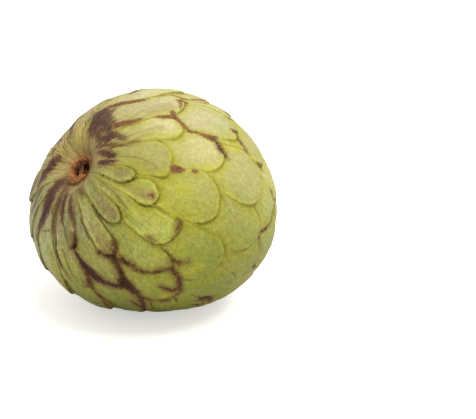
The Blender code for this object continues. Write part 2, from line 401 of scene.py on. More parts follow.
CORKY = (
    ((320.6, 72.6, 0.30), (318.4, 75.1, 0.22), (314.7, 77.3, 0.22), (312.0, 79.6, 0.20)),
    ((330.6, 89.6, 0.20), (326.2, 90.4, 0.18), (321.5, 92.8, 0.15)),
    ((209.6, 36.4, -0.10), (210.2, 39.2, -0.05), (206.6, 42.2, 0.14)),
    ((239.1, 47.4, -0.05), (236.8, 50.4, 0.00), (233.8, 52.2, 0.26)),
    ((206.2, 59.2, 0.20), (202.9, 64.2, 0.45), (199.8, 65.2, 0.20)),
    ((202.2, 65.6, 0.22), (202.2, 72.4, 0.22), (199.1, 81.1, 0.30), (196.2, 86.5, 0.35)),
    ((215.9, 82.9, 0.15), (215.1, 86.6, 0.38), (214.4, 90.6, 0.3)),
    ((268.4, 65.0, -0.70), (270.2, 65.9, -0.05)),
    ((271.2, 64.4, -0.55), (269.9, 65.9, -0.05)),
    ((268.9, 66.0, -0.25), (265.4, 66.1, -0.55), (262.7, 65.9, -0.70)),
    ((253.0, 72.8, 0.15), (253.2, 74.9, 0.36), (253.9, 76.4, 0.26), (256.7, 80.0, 0.02)),
    ((249.6, 75.6, 0.35), (248.5, 79.3, 0.40), (246.6, 83.4, 0.50), (243.2, 87.9, 0.55),
     (238.9, 91.0, 0.50), (233.8, 92.4, 0.40)),
    ((233.8, 92.4, 0.40), (230.6, 90.4, 0.45), (225.6, 87.4, 0.5), (224.8, 82.2, 0.6)),
    ((237.5, 80.4, 0.10), (238.4, 83.4, 0.55), (239.3, 86.1, 0.85), (242.0, 87.4, 0.6)),
    ((226.2, 86.2, 0.30), (228.3, 91.1, 0.28), (231.6, 93.8, 0.15)),
    ((240.0, 106.0, 0.4), (242.4, 110.0, 0.9), (242.4, 114.0, 0.9), (240.0, 118.0, 0.5)),
    ((234.0, 109.0, 0.2), (234.7, 114.0, 0.45)),
    ((163.6, 42.0, 0.10), (163.8, 45.0, 0.22), (166.5, 47.2, 0.12)),
    ((21.0, 60.0, 0.2), (24.0, 63.5, 0.5), (29.0, 66.0, 0.3)),
    ((205.8, 42.2, 0.14), (207.0, 44.0, 0.28), (208.2, 48.5, 0.80), (208.9, 51.8, 1.70), (209.7, 54.6, 2.35),
     (210.8, 57.4, 2.30), (212.4, 60.2, 1.95), (214.9, 63.6, 1.55), (217.2, 66.0, 1.50), (219.9, 67.8, 1.60),
     (223.7, 68.6, 1.70)),
    ((225.6, 48.3, 0.26), (227.7, 50.2, 0.55), (230.4, 52.1, 0.85), (231.3, 54.1, 1.15), (230.7, 56.6, 0.95),
     (230.2, 58.9, 0.75), (228.5, 61.5, 0.80), (226.3, 65.1, 1.10)),
    ((231.0, 54.0, 0.60), (233.4, 53.0, 0.35)),
    ((225.7, 65.7, 1.55), (225.2, 70.2, 1.55), (225.0, 73.8, 1.45), (223.8, 78.6, 1.30), (221.8, 83.6, 1.15),
     (218.4, 88.6, 0.95), (213.2, 94.0, 0.85), (211.0, 99.0, 0.60)),
    ((231.3, 54.1, 0.60), (235.7, 56.7, 0.42), (236.3, 59.7, 0.30), (237.4, 62.2, 0.38), (237.4, 64.7, 0.42),
     (238.6, 67.9, 0.34), (241.4, 70.4, 0.30), (244.3, 72.3, 0.38), (249.6, 75.6, 0.28)),
    ((255.6, 56.4, -0.55), (256.1, 58.4, -0.30), (256.4, 60.8, -0.50)),
)
SMOKY = (
    # the big smudge right of the far wall
    ((17.6, 19.4, 0.8, 0.9), (26.9, 28.0, 1.6, 1.0), (26.2, 33.4, 1.9, 1.0), (20.5, 38.0, 1.1, 1.0), (13.0, 40.8, 0.6, 0.9)),
    ((24.1, 23.0, 1.3, 1.0), (17.5, 26.8, 2.0, 1.0), (9.0, 28.8, 2.0, 0.9), (357.0, 28.4, 1.3, 0.8), (349.0, 29.4, 0.4, 0.6)),
    ((20.1, 31.5, 2.0, 1.0), (12.0, 34.5, 1.2, 0.6)),
    ((9.2, 18.5, 0.5, 0.9), (13.3, 23.2, 1.5, 1.0), (22.0, 30.0, 1.7, 1.0), (21.5, 35.0, 1.5, 1.0)),
    ((13.3, 24.2, 1.3, 1.0), (4.3, 26.4, 1.8, 1.0), (351.0, 25.2, 1.3, 0.95), (347.0, 26.6, 0.5, 0.7)),
    ((6.0, 25.0, 1.3, 1.0), (8.5, 29.6, 1.6, 0.95), (15.5, 34.0, 1.2, 0.85)),
    ((338.4, 18.0, 0.9, 0.85), (334.8, 22.0, 1.5, 1.0), (341.0, 24.2, 1.0, 0.95)),
    ((2.0, 19.4, 0.8, 0.8), (358.0, 22.2, 1.2, 0.85), (353.0, 25.0, 1.2, 0.9)),
    ((3.6, 19.4, 0.7, 0.7), (347.4, 18.0, 1.2, 0.9), (337.9, 21.0, 1.7, 1.0), (336.0, 24.5, 1.4, 0.95), (330.4, 27.4, 0.7, 0.8),
     (322.0, 30.0, 0.35, 0.6)),
    ((355.4, 22.9, 0.7, 0.6), (344.4, 24.0, 0.9, 0.8)),
    ((339.9, 14.2, 0.4, 0.7), (328.7, 17.8, 0.6, 0.8), (320.3, 23.1, 0.6, 0.8), (317.2, 28.5, 0.30, 0.6), (316.8, 36.0, 0.2, 0.4)),
    ((320.3, 15.6, 0.4, 0.7), (313.5, 17.8, 0.8, 0.9), (308.3, 21.3, 1.2, 1.0), (305.1, 23.5, 0.9, 0.9)),
    ((294.3, 17.5, 0.5, 1.1), (295.7, 20.5, 0.75, 1.2), (297.2, 24.7, 0.5, 1.1)),
    # left of the stalk
    ((95.6, 20.7, 0.9, 0.8), (103.2, 23.0, 1.8, 1.0), (113.0, 24.2, 2.2, 1.0), (120.1, 26.4, 1.8, 0.95), (127.9, 30.1, 1.0, 0.7)),
    ((129.9, 13.6, 0.5, 0.6), (140.6, 16.0, 1.2, 0.95), (153.4, 18.4, 2.1, 0.92), (162.8, 22.4, 2.4, 0.96),
     (168.6, 27.4, 2.0, 1.0), (167.6, 33.0, 0.9, 0.95), (166.3, 38.0, 0.25, 0.8)),
    ((155.2, 13.5, 0.4, 0.7), (179.1, 15.9, 0.6, 0.8), (186.6, 20.0, 0.7, 0.8), (186.3, 27.0, 0.30, 0.7), (185.6, 36.0, 0.2, 0.5)),
    ((176.1, 13.2, 0.35, 0.7), (196.4, 17.4, 0.7, 0.9), (199.1, 23.5, 0.8, 1.0), (198.0, 28.6, 0.35, 0.8)),
    ((208.4, 16.6, 0.3, 0.7), (212.4, 21.0, 0.6, 0.9), (213.1, 25.5, 0.6, 0.9), (214.2, 31.0, 0.25, 0.7)),
    ((228.1, 14.2, 0.3, 0.5), (233.2, 16.9, 0.6, 0.75), (236.0, 19.3, 0.4, 0.6)),
    # round the back
    ((60.5, 26.5, 0.5, 0.5), (63.0, 34.0, 0.9, 0.7), (58.0, 42.0, 0.4, 0.5)),
    ((78.1, 30.1, 0.4, 0.5), (84.0, 40.0, 1.3, 0.7), (82.0, 48.0, 0.5, 0.5)),
    ((120.0, 33.0, 0.5, 0.5), (127.0, 40.0, 1.2, 0.7), (126.0, 48.0, 0.5, 0.5)),
    ((139.3, 27.4, 0.4, 0.6), (143.9, 34.0, 0.9, 0.8), (142.0, 42.0, 0.4, 0.5)),
)
MOSSY = (
    ((277.0, 19.8, 0.12, 0.7), (276.5, 21.7, 0.40, 1.0), (277.1, 24.0, 0.30, 0.9), (276.2, 26.2, 0.38, 1.0)),
    ((281.5, 19.5, 0.12, 0.7), (281.1, 20.9, 0.15, 0.7)),
    ((242.2, 27.0, 0.18, 0.8), (242.2, 31.8, 0.34, 1.0), (243.3, 36.0, 0.14, 0.8)),
    ((284.4, 36.8, 0.12, 0.7), (282.8, 37.6, 0.22, 0.8)),
)
VEINS = (
    ((304.6, 23.6, 0.10), (303.2, 29.2, 0.13), (302.8, 33.4, 0.14), (301.2, 38.0, 0.13), (298.0, 43.0, 0.10), (295.9, 46.4, 0.05)),
    ((315.2, 38.0, 0.16), (315.7, 43.0, 0.16), (315.9, 47.4, 0.14), (317.8, 52.8, 0.12), (319.9, 56.6, 0.10)),
    ((344.2, 70.6, 0.10), (342.3, 75.4, 0.12), (341.5, 79.4, 0.12), (341.3, 84.0, 0.10)),
    ((171.4, 37.8, 0.12), (181.6, 35.0, 0.12)),
    ((195.3, 43.0, 0.06), (195.5, 49.0, 0.10), (195.9, 55.9, 0.10), (197.8, 62.8, 0.08)),
    ((326.0, 33.0, 0.10), (327.2, 42.0, 0.10), (328.0, 50.0, 0.06)),
    ((346.0, 34.0, 0.10), (347.5, 43.0, 0.14), (350.5, 54.0, 0.08)),
    ((268.0, 24.1, 0.00), (266.5, 33.0, 0.04), (262.0, 42.0, 0.00)),
    ((177.5, 22.0, 0.10), (184.5, 27.5, 0.20), (187.2, 33.2, 0.28), (187.3, 39.6, 0.30), (188.8, 47.2, 0.32),
     (191.0, 52.7, 0.34), (192.8, 60.3, 0.30), (196.0, 66.0, 0.10)),
    ((162.5, 36.4, 0.10), (165.2, 41.1, 0.16), (166.7, 47.1, 0.14)),
    ((186.0, 21.0, 0.08), (197.5, 26.5, 0.12), (202.2, 32.5, 0.15), (204.2, 41.2, 0.15)),
    ((218.0, 23.2, 0.10), (216.2, 30.5, 0.16), (213.8, 35.0, 0.18), (209.0, 39.0, 0.18), (206.1, 42.6, 0.16)),
    ((242.0, 27.8, 0.10), (241.6, 33.7, 0.16), (241.2, 41.0, 0.16), (239.8, 47.0, 0.16)),
    ((200.8, 59.0, 0.12), (201.4, 63.4, 0.18), (203.3, 67.6, 0.14)),
    ((148.0, 26.0, 0.08), (152.5, 33.0, 0.14), (154.0, 41.0, 0.14), (155.0, 49.0, 0.10)),
    ((224.0, 30.0, 0.10), (224.0, 40.0, 0.12)),
)
TANNED = (
    ((206.8, 30.0, 1.0, 0.7), (206.8, 36.0, 1.3, 1.0), (206.0, 39.8, 0.9, 0.8)),
    ((231.5, 36.0, 1.0, 0.35), (232.4, 43.0, 1.8, 0.8), (232.8, 48.0, 2.2, 1.0)),
    ((250.6, 27.0, 1.2, 0.4), (251.2, 34.0, 2.2, 0.85), (251.8, 38.6, 1.9, 0.9)),
    ((285.8, 27.0, 1.2, 0.55), (286.0, 31.5, 1.9, 0.75)),
    ((275.0, 36.0, 0.8, 0.4), (276.5, 44.0, 1.4, 0.65), (277.2, 48.4, 1.6, 0.8)),
    ((195.0, 29.0, 0.8, 0.4), (194.0, 34.0, 0.8, 0.5)),
    ((175.5, 36.0, 0.9, 0.3), (175.5, 43.0, 0.9, 0.4)),
    ((156.1, 33.0, 0.8, 0.5), (156.5, 43.0, 0.9, 0.6)),
    ((308.0, 30.0, 1.4, 0.25), (292.0, 47.0, 2.2, 0.35)),
    ((342.0, 45.0, 2.0, 0.40), (347.0, 58.0, 2.2, 0.45)),
    ((320.0, 36.0, 1.0, 0.45), (327.0, 48.0, 1.6, 0.30)),
    ((7.2, 14.8, 0.9, 0.6), (2.9, 20.8, 1.0, 0.6)),
)
TIP_SPOTS = (
    ((233.0, 45.4, 0.40, 0.9), (233.6, 47.2, 0.60, 0.9)),
    ((207.4, 37.0, 0.30, 0.5), (207.0, 38.6, 0.35, 0.5)),
    ((251.9, 37.6, 0.35, 0.5), (252.2, 39.2, 0.40, 0.5)),
    ((277.6, 47.4, 0.30, 0.7), (277.9, 49.0, 0.35, 0.7)),
)
# Greyish-tan bands: the first, along the low left edge, is painted light, a painted reflection of the floor's light on
# the skin; the other two are greyer skin near the stalk.
GREY_AND_RIM_LIGHT = (
    ((160.0, 50.0, 2.0, 0.6), (164.0, 60.0, 3.0, 0.9), (172.0, 68.0, 3.4, 1.0), (178.0, 78.0, 3.4, 1.0),
     (187.0, 86.0, 3.0, 0.9), (194.0, 92.0, 2.2, 0.6)),
    ((196.0, 30.0, 1.6, 0.7), (201.0, 38.0, 2.2, 0.9), (203.0, 46.0, 1.8, 0.6)),
    ((222.0, 24.0, 1.0, 0.6), (220.0, 32.0, 2.0, 0.7), (216.0, 38.0, 1.8, 0.5)),
)
FRESH = (
    ((285.5, 49.6, 0.9), (281.2, 53.2, 1.0), (276.0, 55.6, 0.8)),
    ((287.1, 59.5, 1.6), (287.6, 63.0, 1.4)),
    ((291.5, 51.5, 0.8), (295.0, 53.0, 0.5)),
    ((314.0, 49.6, 0.7), (317.2, 53.6, 0.8), (320.2, 58.0, 0.6)),
    ((306.0, 53.0, 0.6), (301.0, 55.0, 0.5)),
    ((288.0, 38.6, 0.7), (288.2, 43.5, 0.8), (290.2, 49.0, 0.8)),
    ((261.5, 38.5, 0.5), (264.0, 45.0, 0.8), (269.4, 51.0, 0.7)),
    ((325.0, 88.0, 2.0), (318.0, 86.0, 1.2)),
    ((247.5, 44.0, 0.4), (251.2, 50.5, 0.7), (253.0, 54.0, 0.5)),
    ((211.0, 52.0, 0.3), (213.0, 55.0, 0.8), (213.5, 58.0, 0.6)),
    ((236.0, 87.5, 1.2), (232.0, 88.0, 1.0)),
    ((300.5, 78.0, 1.5), (303.0, 70.0, 0.8)),
    ((256.5, 63.8, 0.5), (260.0, 68.0, 0.9), (262.0, 72.0, 0.9)),
    ((250.5, 83.0, 1.0), (258.0, 86.0, 1.4)),
)
FOLD = ((8.0, 7.5), (13.8, 11.8), (14.6, 17.5), (21.5, 22.5), (30.0, 30.0), (40.0, 40.0))


def stroke_field(strokes, pol, lon, sin_a):
    """(reach inside the stroke in mm, strength, offset across it) of the nearest."""
    best = np.full(len(pol), -9.0)
    power = np.zeros(len(pol))
    across = np.full(len(pol), 9.0)
    for stroke in strokes:
        lon0 = stroke[0][0]
        tl = (lon - lon0 + 180) % 360 - 180
        for p, q in zip(stroke[:-1], stroke[1:]):
            ax, ay = (p[0] - lon0 + 180) % 360 - 180, p[1]
            bx, by = (q[0] - lon0 + 180) % 360 - 180, q[1]
            near = np.nonzero((np.abs(pol - (ay + by) / 2) < abs(by - ay) / 2 + 12))[0]
            k = MM_PER_DEG * sin_a[near]
            ux, uy = (bx - ax) * k, np.full(len(near), (by - ay) * MM_PER_DEG)
            wx, wy = (tl[near] - ax) * k, (pol[near] - ay) * MM_PER_DEG
            s = np.clip((wx * ux + wy * uy) / np.maximum(ux * ux + uy * uy, 1e-9), 0, 1)
            dist = np.hypot(wx - s * ux, wy - s * uy)
            width = p[2] + (q[2] - p[2]) * s
            reach = width - dist
            up = reach > best[near]
            best[near[up]] = reach[up]
            across[near[up]] = (np.sign(wx * uy - wy * ux) * dist)[up]
            if len(p) > 3:
                st = p[3] + (q[3] - p[3]) * s
                power[near[up]] = st[up]
            else:
                power[near[up]] = 1.0
    return best, power, across


# ---------------------------------------------------------------- skin mesh --
def sphere_grid(m):
    """A cube's faces blown up to a sphere: unit directions and quads."""
    t = np.tan(np.linspace(-1, 1, m + 1) * math.pi / 4)
    u, v = np.meshgrid(t, t, indexing="ij")
    one = np.ones_like(u)
    sides = ((u, v, one), (v, u, -one), (one, u, v), (-one, v, u), (v, one, u), (u, -one, v))
    pts = np.concatenate([np.stack(s, -1).reshape(-1, 3) for s in sides])
    pts /= np.linalg.norm(pts, axis=1)[:, None]
    base = np.arange((m + 1) ** 2).reshape(m + 1, m + 1)
    quads = np.stack([base[:-1, :-1], base[1:, :-1], base[1:, 1:], base[:-1, 1:]], -1).reshape(-1, 4)
    quads = np.concatenate([quads + k * (m + 1) ** 2 for k in range(6)])
    key = np.round(pts * 1e6).astype(np.int64)
    _, first, inverse = np.unique(key, axis=0, return_index=True, return_inverse=True)
    inverse = inverse.reshape(-1)
    return pts[first], inverse[quads]


def gather(pts, s):
    """Crowd the directions towards the stalk, keeping small shapes."""
    pol = np.arccos(np.clip(pts[:, 2], -1, 1))
    lon = np.arctan2(pts[:, 1], pts[:, 0])
    pol = 2 * np.arctan(s * np.tan(np.minimum(pol, math.pi - 1e-7) / 2))
    pol = np.where(pts[:, 2] < -1 + 1e-12, math.pi, pol)
    return np.stack([np.sin(pol) * np.cos(lon), np.sin(pol) * np.sin(lon), np.cos(pol)], -1)


GRID = 128
dirs, quads = sphere_grid(GRID)
dirs = gather(dirs, 0.80)
base = dirs * body_radius(dirs)[:, None]
p_mm = base * 1000
pol = np.degrees(np.arccos(np.clip(dirs[:, 2], -1, 1)))
lon = np.degrees(np.arctan2(dirs[:, 1], dirs[:, 0])) % 360
sin_a = np.maximum(np.sin(np.radians(pol)), 0.12)
F = scale_field(pol, lon, p_mm)
seam = np.minimum(F["own_d"], F["up_d"])
rng = np.random.default_rng(3)


def lobe(p, l, reach):
    return np.exp(-0.5 * (angle_between(pol, lon, p, l) / reach) ** 2)


wave = noise(p_mm / 5.0, 61) * 0.55 + noise(p_mm / 2.1, 62) * 0.22     # mm, frays the strokes
rusty, _, _ = stroke_field(tuple(tuple((a, b, 1.25 * w + 0.04) for a, b, w in line) for line in RUSTY),
                           pol + wave / MM_PER_DEG, lon, sin_a)
corky, _, _ = stroke_field(tuple(tuple((a, b, 1.15 * w + 0.02) for a, b, w in line) for line in CORKY),
                           pol + 0.7 * wave / MM_PER_DEG, lon, sin_a)
smoke, smoke_power, _ = stroke_field(SMOKY, pol, lon, sin_a)
moss, moss_power, _ = stroke_field(MOSSY, pol, lon, sin_a)
vein, _, vein_across = stroke_field(VEINS, pol + 0.3 * wave / MM_PER_DEG, lon, sin_a)
tanned, tan_power, _ = stroke_field(TANNED, pol, lon, sin_a)
spot, spot_power, _ = stroke_field(TIP_SPOTS, pol, lon, sin_a)
fresh, _, _ = stroke_field(FRESH, pol, lon, sin_a)
grey_and_rim_light, grey_rim_light_power, _ = stroke_field(GREY_AND_RIM_LIGHT, pol, lon, sin_a)
fold, _, fold_across = stroke_field((tuple((a, b, 0.0) for a, b in FOLD),), pol, lon, sin_a)

# the corky bits of the grown scales follow their edges
cork_w = np.where(F["own_d"] < F["up_d"], F["own_cork"], F["up_cork"])
placed = np.array([s in PLACED for s in SCALES])
patches = smooth(-0.30, 0.30, noise(p_mm / 12.0, 77))
edge_cork = np.where(cork_w > 0.03, cork_w - 2.2 * (1 - patches) - seam * np.where(F["own_d"] < F["up_d"], 1.3, 0.9), -9)
scar = 1.5 - (180 - pol) * MM_PER_DEG                 # where the flower sat
corky = np.maximum(corky, scar)
corky = np.maximum(corky, edge_cork)

# Relief in mm, all of it cut in from the body's surface.
open_skin = smooth(13, 24, pol)                   # 0 in the pit
lift = rng.uniform(0.45, 1.15, len(SCALES))
step = (1.12 + 0.50 * lobe(60, 205, 40) - 0.40 * lobe(75, 330, 34)) * open_skin * (0.30 + 0.70 * F["up_tip"])
relief = -step * np.exp(-F["up_d"] / 4.2)
relief -= 0.20 * open_skin * np.exp(-(seam / 0.50) ** 2)
relief -= 0.20 * open_skin * np.exp(-F["own_d"] / 0.8) * smooth(-0.3, 0.7, F["own_u"])
# each scale is flatter than the ball it lies on, with its own slight tilt
flat = np.clip(1 - (0.8 * F["own_v"]) ** 2 - (0.8 * np.clip(F["own_u"], -1, 1)) ** 2, 0, 1)
relief -= (0.66 + 0.25 * lobe(70, 200, 45)) * open_skin * flat * lift[F["owner"]]
lean_v = rng.uniform(-0.22, 0.22, len(SCALES))
relief -= open_skin * (0.22 + lean_v[F["owner"]] * np.clip(F["own_v"], -1, 1)) * smooth(0.0, 2.0, seam)
relief += 0.50 * open_skin * (noise(p_mm / 15.0, 21) - 1) * 0.5
relief += 0.13 * (fbm(p_mm / 2.8, 22, 2) - 1) * 0.5
relief -= 0.55 * open_skin * lobe(48, 205, 30) * np.clip(F["own_v"], -1, 1) ** 2
# faint lengthwise flutes on the scales
flute = np.stack([np.cos(np.radians(lon)) * 12, np.sin(np.radians(lon)) * 12, pol / 30.0], -1)
relief += (0.16 + 0.30 * lobe(48, 200, 30)) * open_skin * (noise(flute, 33) - 1) * 0.5
# grooves that run out of the pit
ray = np.stack([np.cos(np.radians(lon)) * 7.0, np.sin(np.radians(lon)) * 7.0, pol / 26.0], -1)
fade = smooth(7.5, 11, pol) * (1 - smooth(24, 46, pol))
relief += fade * (0.75 * (noise(ray, 31) - 1) * 0.5 + 0.42 * (noise(ray * 2.2, 32) - 1) * 0.5)
# the fold that runs out of the pit, lower on the far side
along = smooth(8, 12, pol) * (1 - smooth(32, 46, pol))
relief -= along * 1.5 * smooth(-0.3, 1.3, fold_across) * np.exp(-np.maximum(fold_across, 0) / 5.5)
relief += along * 0.35 * np.exp(-((fold_across + 0.6) / 0.9) ** 2)
# the near wall of the pit bulges over the stalk
relief += 1.1 * lobe(11.0, 318, 4.4)
# scabs stand a little proud and are rough
scab = np.maximum(smooth(-0.1, 0.3, corky), smooth(-0.1, 0.3, rusty))
relief += 0.10 * scab * noise(p_mm / 0.9, 35) - 0.30 * smooth(-0.5, 0.5, corky + 0.6 * noise(p_mm / 2.0, 38))
relief += 0.80 * open_skin
# The stalk's foot fills the bottom of the pit.
from_pit = np.degrees(np.arccos(np.clip((dirs * PIT).sum(-1), -1, 1)))
relief += 0.85 * np.exp(-((from_pit - 7.7) / 1.5) ** 2) * (1 + 0.5 * noise(ray * 3.0, 36))
foot = 1 - smooth(3.6, 5.6, from_pit)
relief -= 9.0 * foot

radius = skin_radius(dirs) + relief * 0.001
pos = (dirs * radius[:, None]) @ TO_WORLD.T + CENTRE
soft = 0.0005
pos[:, 2] = np.where(pos[:, 2] < soft, soft * np.exp(np.minimum(pos[:, 2] - soft, 0) / soft), pos[:, 2])

# ------------------------------------------------------------- skin colours --
DEPTH = 0.545          # how dark the whole skin is under this light


def tone(r, g, b):
    return srgb(r, g, b) * np.array([1.01, 1.015, 0.82]) * DEPTH


def blend(a, b, t):
    return a + (b - a) * np.asarray(t)[..., None]


OLIVE = tone(184, 186, 84)          # the flanks
LEAF = tone(148, 158, 52)            # low flanks: greener skin, and darker as painted shade towards the bottom
LIME = tone(228, 221, 162)           # the sunny shoulder
STRAW = tone(216, 199, 156)          # between the shoulder and the stalk
SAGE = tone(192, 188, 142)           # round the stalk, greyer
FAWN = tone(216, 178, 116)           # in the pit
ROSE = tone(172, 132, 92)            # rubbed tips
SPOT = tone(140, 92, 46)
BRIGHT = tone(206, 201, 14)          # creases
zones = ((OLIVE, 0.20 * np.ones(len(pol))),
         (LIME, 1.4 * lobe(82, 325, 26) + 0.9 * lobe(64, 8, 13) + 0.5 * lobe(110, 20, 40) + 0.4 * lobe(75, 100, 30)),
         (STRAW, 1.1 * lobe(52, 345, 17) + 0.5 * lobe(60, 60, 26)),
         (OLIVE, 1.3 * lobe(45, 290, 16) + 0.9 * lobe(60, 262, 16) + 0.4 * lobe(120, 120, 40)),
         (LEAF, 1.1 * lobe(80, 245, 20) + 0.8 * lobe(110, 215, 30) + 0.6 * lobe(100, 280, 26) + 0.5 * lobe(130, 30, 34)),
         (SAGE, 1.3 * lobe(48, 205, 22) + 1.2 * lobe(50, 165, 26) + 0.9 * lobe(26, 250, 10) + 0.6 * lobe(60, 120, 26)),
         (FAWN, 2.2 * lobe(0, 0, 9.5) + 1.2 * lobe(22, 70, 12)))
weight = sum(w for _, w in zones)
colour = sum(c[None] * (w / weight)[:, None] for c, w in zones)
# painted shade: the colour darkens towards the bottom of the fruit, standing in for the shade beneath it
low = 1 - smooth(0.000, 0.053, pos[:, 2])
colour = colour * (1 - low[:, None] * np.array([0.44, 0.445, 0.70]))
# partly the skin's own tone, partly painted light and shade: patches at fixed places made lighter or darker to follow
# how the light falls on the fruit
gain = (1 + 0.24 * lobe(58, 250, 15) + 0.14 * lobe(54, 270, 11) + 0.20 * lobe(40, 176, 14) + 0.19 * lobe(47, 330, 9)
        + 0.17 * lobe(58, 8, 9) + 0.22 * lobe(22, 55, 14) + 0.12 * lobe(76, 342, 11) + 0.06 * lobe(60, 8, 9) - 0.14 * lobe(49, 300, 7)
        + 0.10 * lobe(66, 268, 12) + 0.15 * lobe(36, 165, 20) + 0.14 * lobe(84, 241, 11) - 0.11 * lobe(49, 352, 6)
        + 0.06 * lobe(46, 328, 7) + 0.10 * lobe(75, 215, 10) + 0.06 * lobe(60, 250, 16) + 0.08 * lobe(34, 216, 9) + 0.12 * lobe(56, 285, 9) + 0.14 * lobe(74, 237, 12)
        + 0.10 * lobe(33, 200, 10) - 0.10 * lobe(94, 335, 14) - 0.08 * lobe(13, 320, 6) + 0.14 * lobe(62, 176, 16) + 0.06 * lobe(34, 140, 16)
        - 0.05 * lobe(49, 194, 8) + 0.03 * lobe(58, 248, 6) - 0.12 * lobe(60, 10, 8) - 0.035 * lobe(72, 335, 30))
bluer = (1 + 0.35 * lobe(40, 176, 15) + 0.16 * lobe(47, 332, 11) + 0.30 * lobe(58, 8, 11) + 0.20 * lobe(72, 342, 20) + 0.10 * lobe(62, 316, 8)
         + 0.16 * lobe(60, 252, 12) - 0.18 * lobe(76, 240, 14) - 0.32 * lobe(60, 203, 17) - 0.22 * lobe(56, 191, 9) + 0.08 * lobe(46, 328, 8) - 0.16 * lobe(46, 220, 7) + 0.22 * lobe(36, 234, 8)
         + 0.10 * lobe(34, 205, 9) - 0.22 * lobe(96, 232, 24) - 0.05 * lobe(75, 335, 25)
         - 0.22 * lobe(50, 194, 9) - 0.10 * lobe(45, 219, 6) + 0.12 * lobe(54, 263, 7) + 0.14 * lobe(58, 248, 6) + 0.05 * lobe(62, 8, 8))
colour = colour * gain[:, None]
colour[:, 2] *= bluer
colour[:, 0] *= 1 + 0.05 * lobe(94, 232, 26)
# greyish-tan bands: the first a painted reflection of the floor's light along the low left edge, the others greyer
# skin
colour = blend(colour, tone(186, 178, 140), 0.50 * grey_rim_light_power * smooth(-2.6, 0.8, grey_and_rim_light + wave))
# the middle of a scale is paler than its rim
inner = smooth(0.5, 5.2, F["own_d"])
sunny = np.clip(1.15 * lobe(68, 335, 34), 0, 1)
colour = blend(colour, colour * np.array([0.91, 0.965, 0.62]), (1 - inner) * (0.30 + 0.35 * sunny) * open_skin)
colour = blend(colour, colour * np.array([1.05, 1.045, 1.20]), inner * (0.30 + 0.40 * sunny) * open_skin)
tint = rng.uniform(-1, 1, (len(SCALES), 3))[F["owner"]]
colour = colour * (1 + 0.085 * tint[:, :1] * open_skin[:, None])
colour[:, 0] *= 1 + 0.035 * tint[:, 1] * open_skin
colour[:, 2] *= 1 + 0.10 * tint[:, 2] * open_skin
cloud = fbm(p_mm / 9.0, 43, 3)
colour = blend(colour, colour * np.array([0.90, 0.96, 0.72]), smooth(0.0, 0.5, cloud) * 0.8)
colour = blend(colour, colour * np.array([1.06, 1.01, 1.12]), smooth(0.05, 0.5, -cloud) * 0.8)
# rubbed tips
grown_tan = np.array([0.0 if p else s[6] for s, p in zip(SCALES, placed)])[F["owner"]]
bloom = grown_tan * smooth(-1.0, 0.6, F["own_u"]) * smooth(0.1, 1.6, F["own_d"])
bloom = np.maximum(bloom, tan_power * smooth(-1.1, 0.5, tanned))
bloom = np.clip(bloom * (0.9 + 0.5 * fbm(p_mm / 2.6, 47, 2)), 0, 1)
colour = blend(colour, ROSE, 0.85 * bloom)
colour = blend(colour, SPOT, np.clip(spot_power * smooth(-0.5, 0.5, spot + 0.3 * wave), 0, 1) * 0.8)
# fresh green in the creases
lowlit = 0.35 + 0.65 * np.clip(lobe(58, 275, 30) + lobe(90, 300, 40) + 0.6 * lobe(100, 60, 60), 0, 1)
crease = (0.55 * np.exp(-F["up_d"] / 1.6) + 0.45 * np.exp(-F["up_d"] / 5.0)) * open_skin * (0.35 + 0.65 * F["up_tip"]) * lowlit
crease = np.maximum(0.95 * crease, 0.60 * smooth(-2.6, 1.2, fresh + 0.8 * wave))
crease = np.maximum(crease, 0.45 * np.exp(-F["own_d"] / 0.8) * open_skin * lowlit)
crease = crease * (1 - 0.95 * np.clip(1.4 * lobe(26, 55, 16), 0, 1))
colour = blend(colour, BRIGHT, np.clip(1.15 * crease, 0, 1) * 0.9)

shade = np.exp(-F["up_d"] / 1.3) * open_skin * (0.45 + 0.55 * F["up_tip"])
deep = 0.18 + 0.34 * np.clip(lobe(70, 205, 45) + lobe(100, 240, 40), 0, 1)
colour = colour * (1 - np.array([1.0, 1.0, 1.5]) * (deep * shade)[:, None])
# painted highlight: a lighter band just inside each scale's edge, where its raised lip catches the light
lip_highlight = np.exp(-((F["own_d"] - 1.0) / 0.6) ** 2) * open_skin
colour = colour * (1 + 0.11 * lip_highlight[:, None])

# how dark the seams are drawn: fine brown lines near the stalk and on the
# left, hardly any on the flank
seam_dark = 0.55 + 0.35 * noise(p_mm / 13.0, 71)
seam_dark = seam_dark + 0.08 + 0.65 * lobe(50, 190, 30) + 0.45 * lobe(100, 225, 30) - 0.44 * lobe(58, 288, 24) - 0.25 * lobe(75, 335, 24)
at_tip = np.where(F["own_d"] < F["up_d"], smooth(-0.4, 0.7, F["own_u"]), smooth(0.35, 1.0, F["up_tip"]))
aside = np.clip(1.2 * lobe(50, 188, 26), 0, 1)
seam_dark = (seam_dark + 0.12) * (0.45 + 0.40 * aside + (0.55 - 0.40 * aside) * at_tip) + 0.22 * at_tip
seam_dark = np.clip(0.82 * seam_dark, 0.05, 1.0) * (1 - 0.85 * lobe(24, 60, 14))
seam_red = np.clip(1.2 * lobe(70, 335, 30) + 0.3, 0, 1)
shady = np.clip(0.12 + lobe(55, 195, 34) + 0.6 * lobe(30, 100, 40), 0, 1) * open_skin
soot = np.clip(1.1 * lobe(95, 225, 26) + 0.5 * lobe(110, 90, 50), 0, 1)

signed = np.where(F["own_d"] < F["up_d"], F["own_d"], -F["up_d"])


def per_corner(value, limit=1.0):
    """Values per face corner: signed where the face is crossed by the line."""
    v = value[quads]
    crossed = (v.min(1) < 0) & (v.max(1) > 0) & (np.abs(v).max(1) < limit)
    return np.where(crossed[:, None], v, np.abs(v)).ravel()


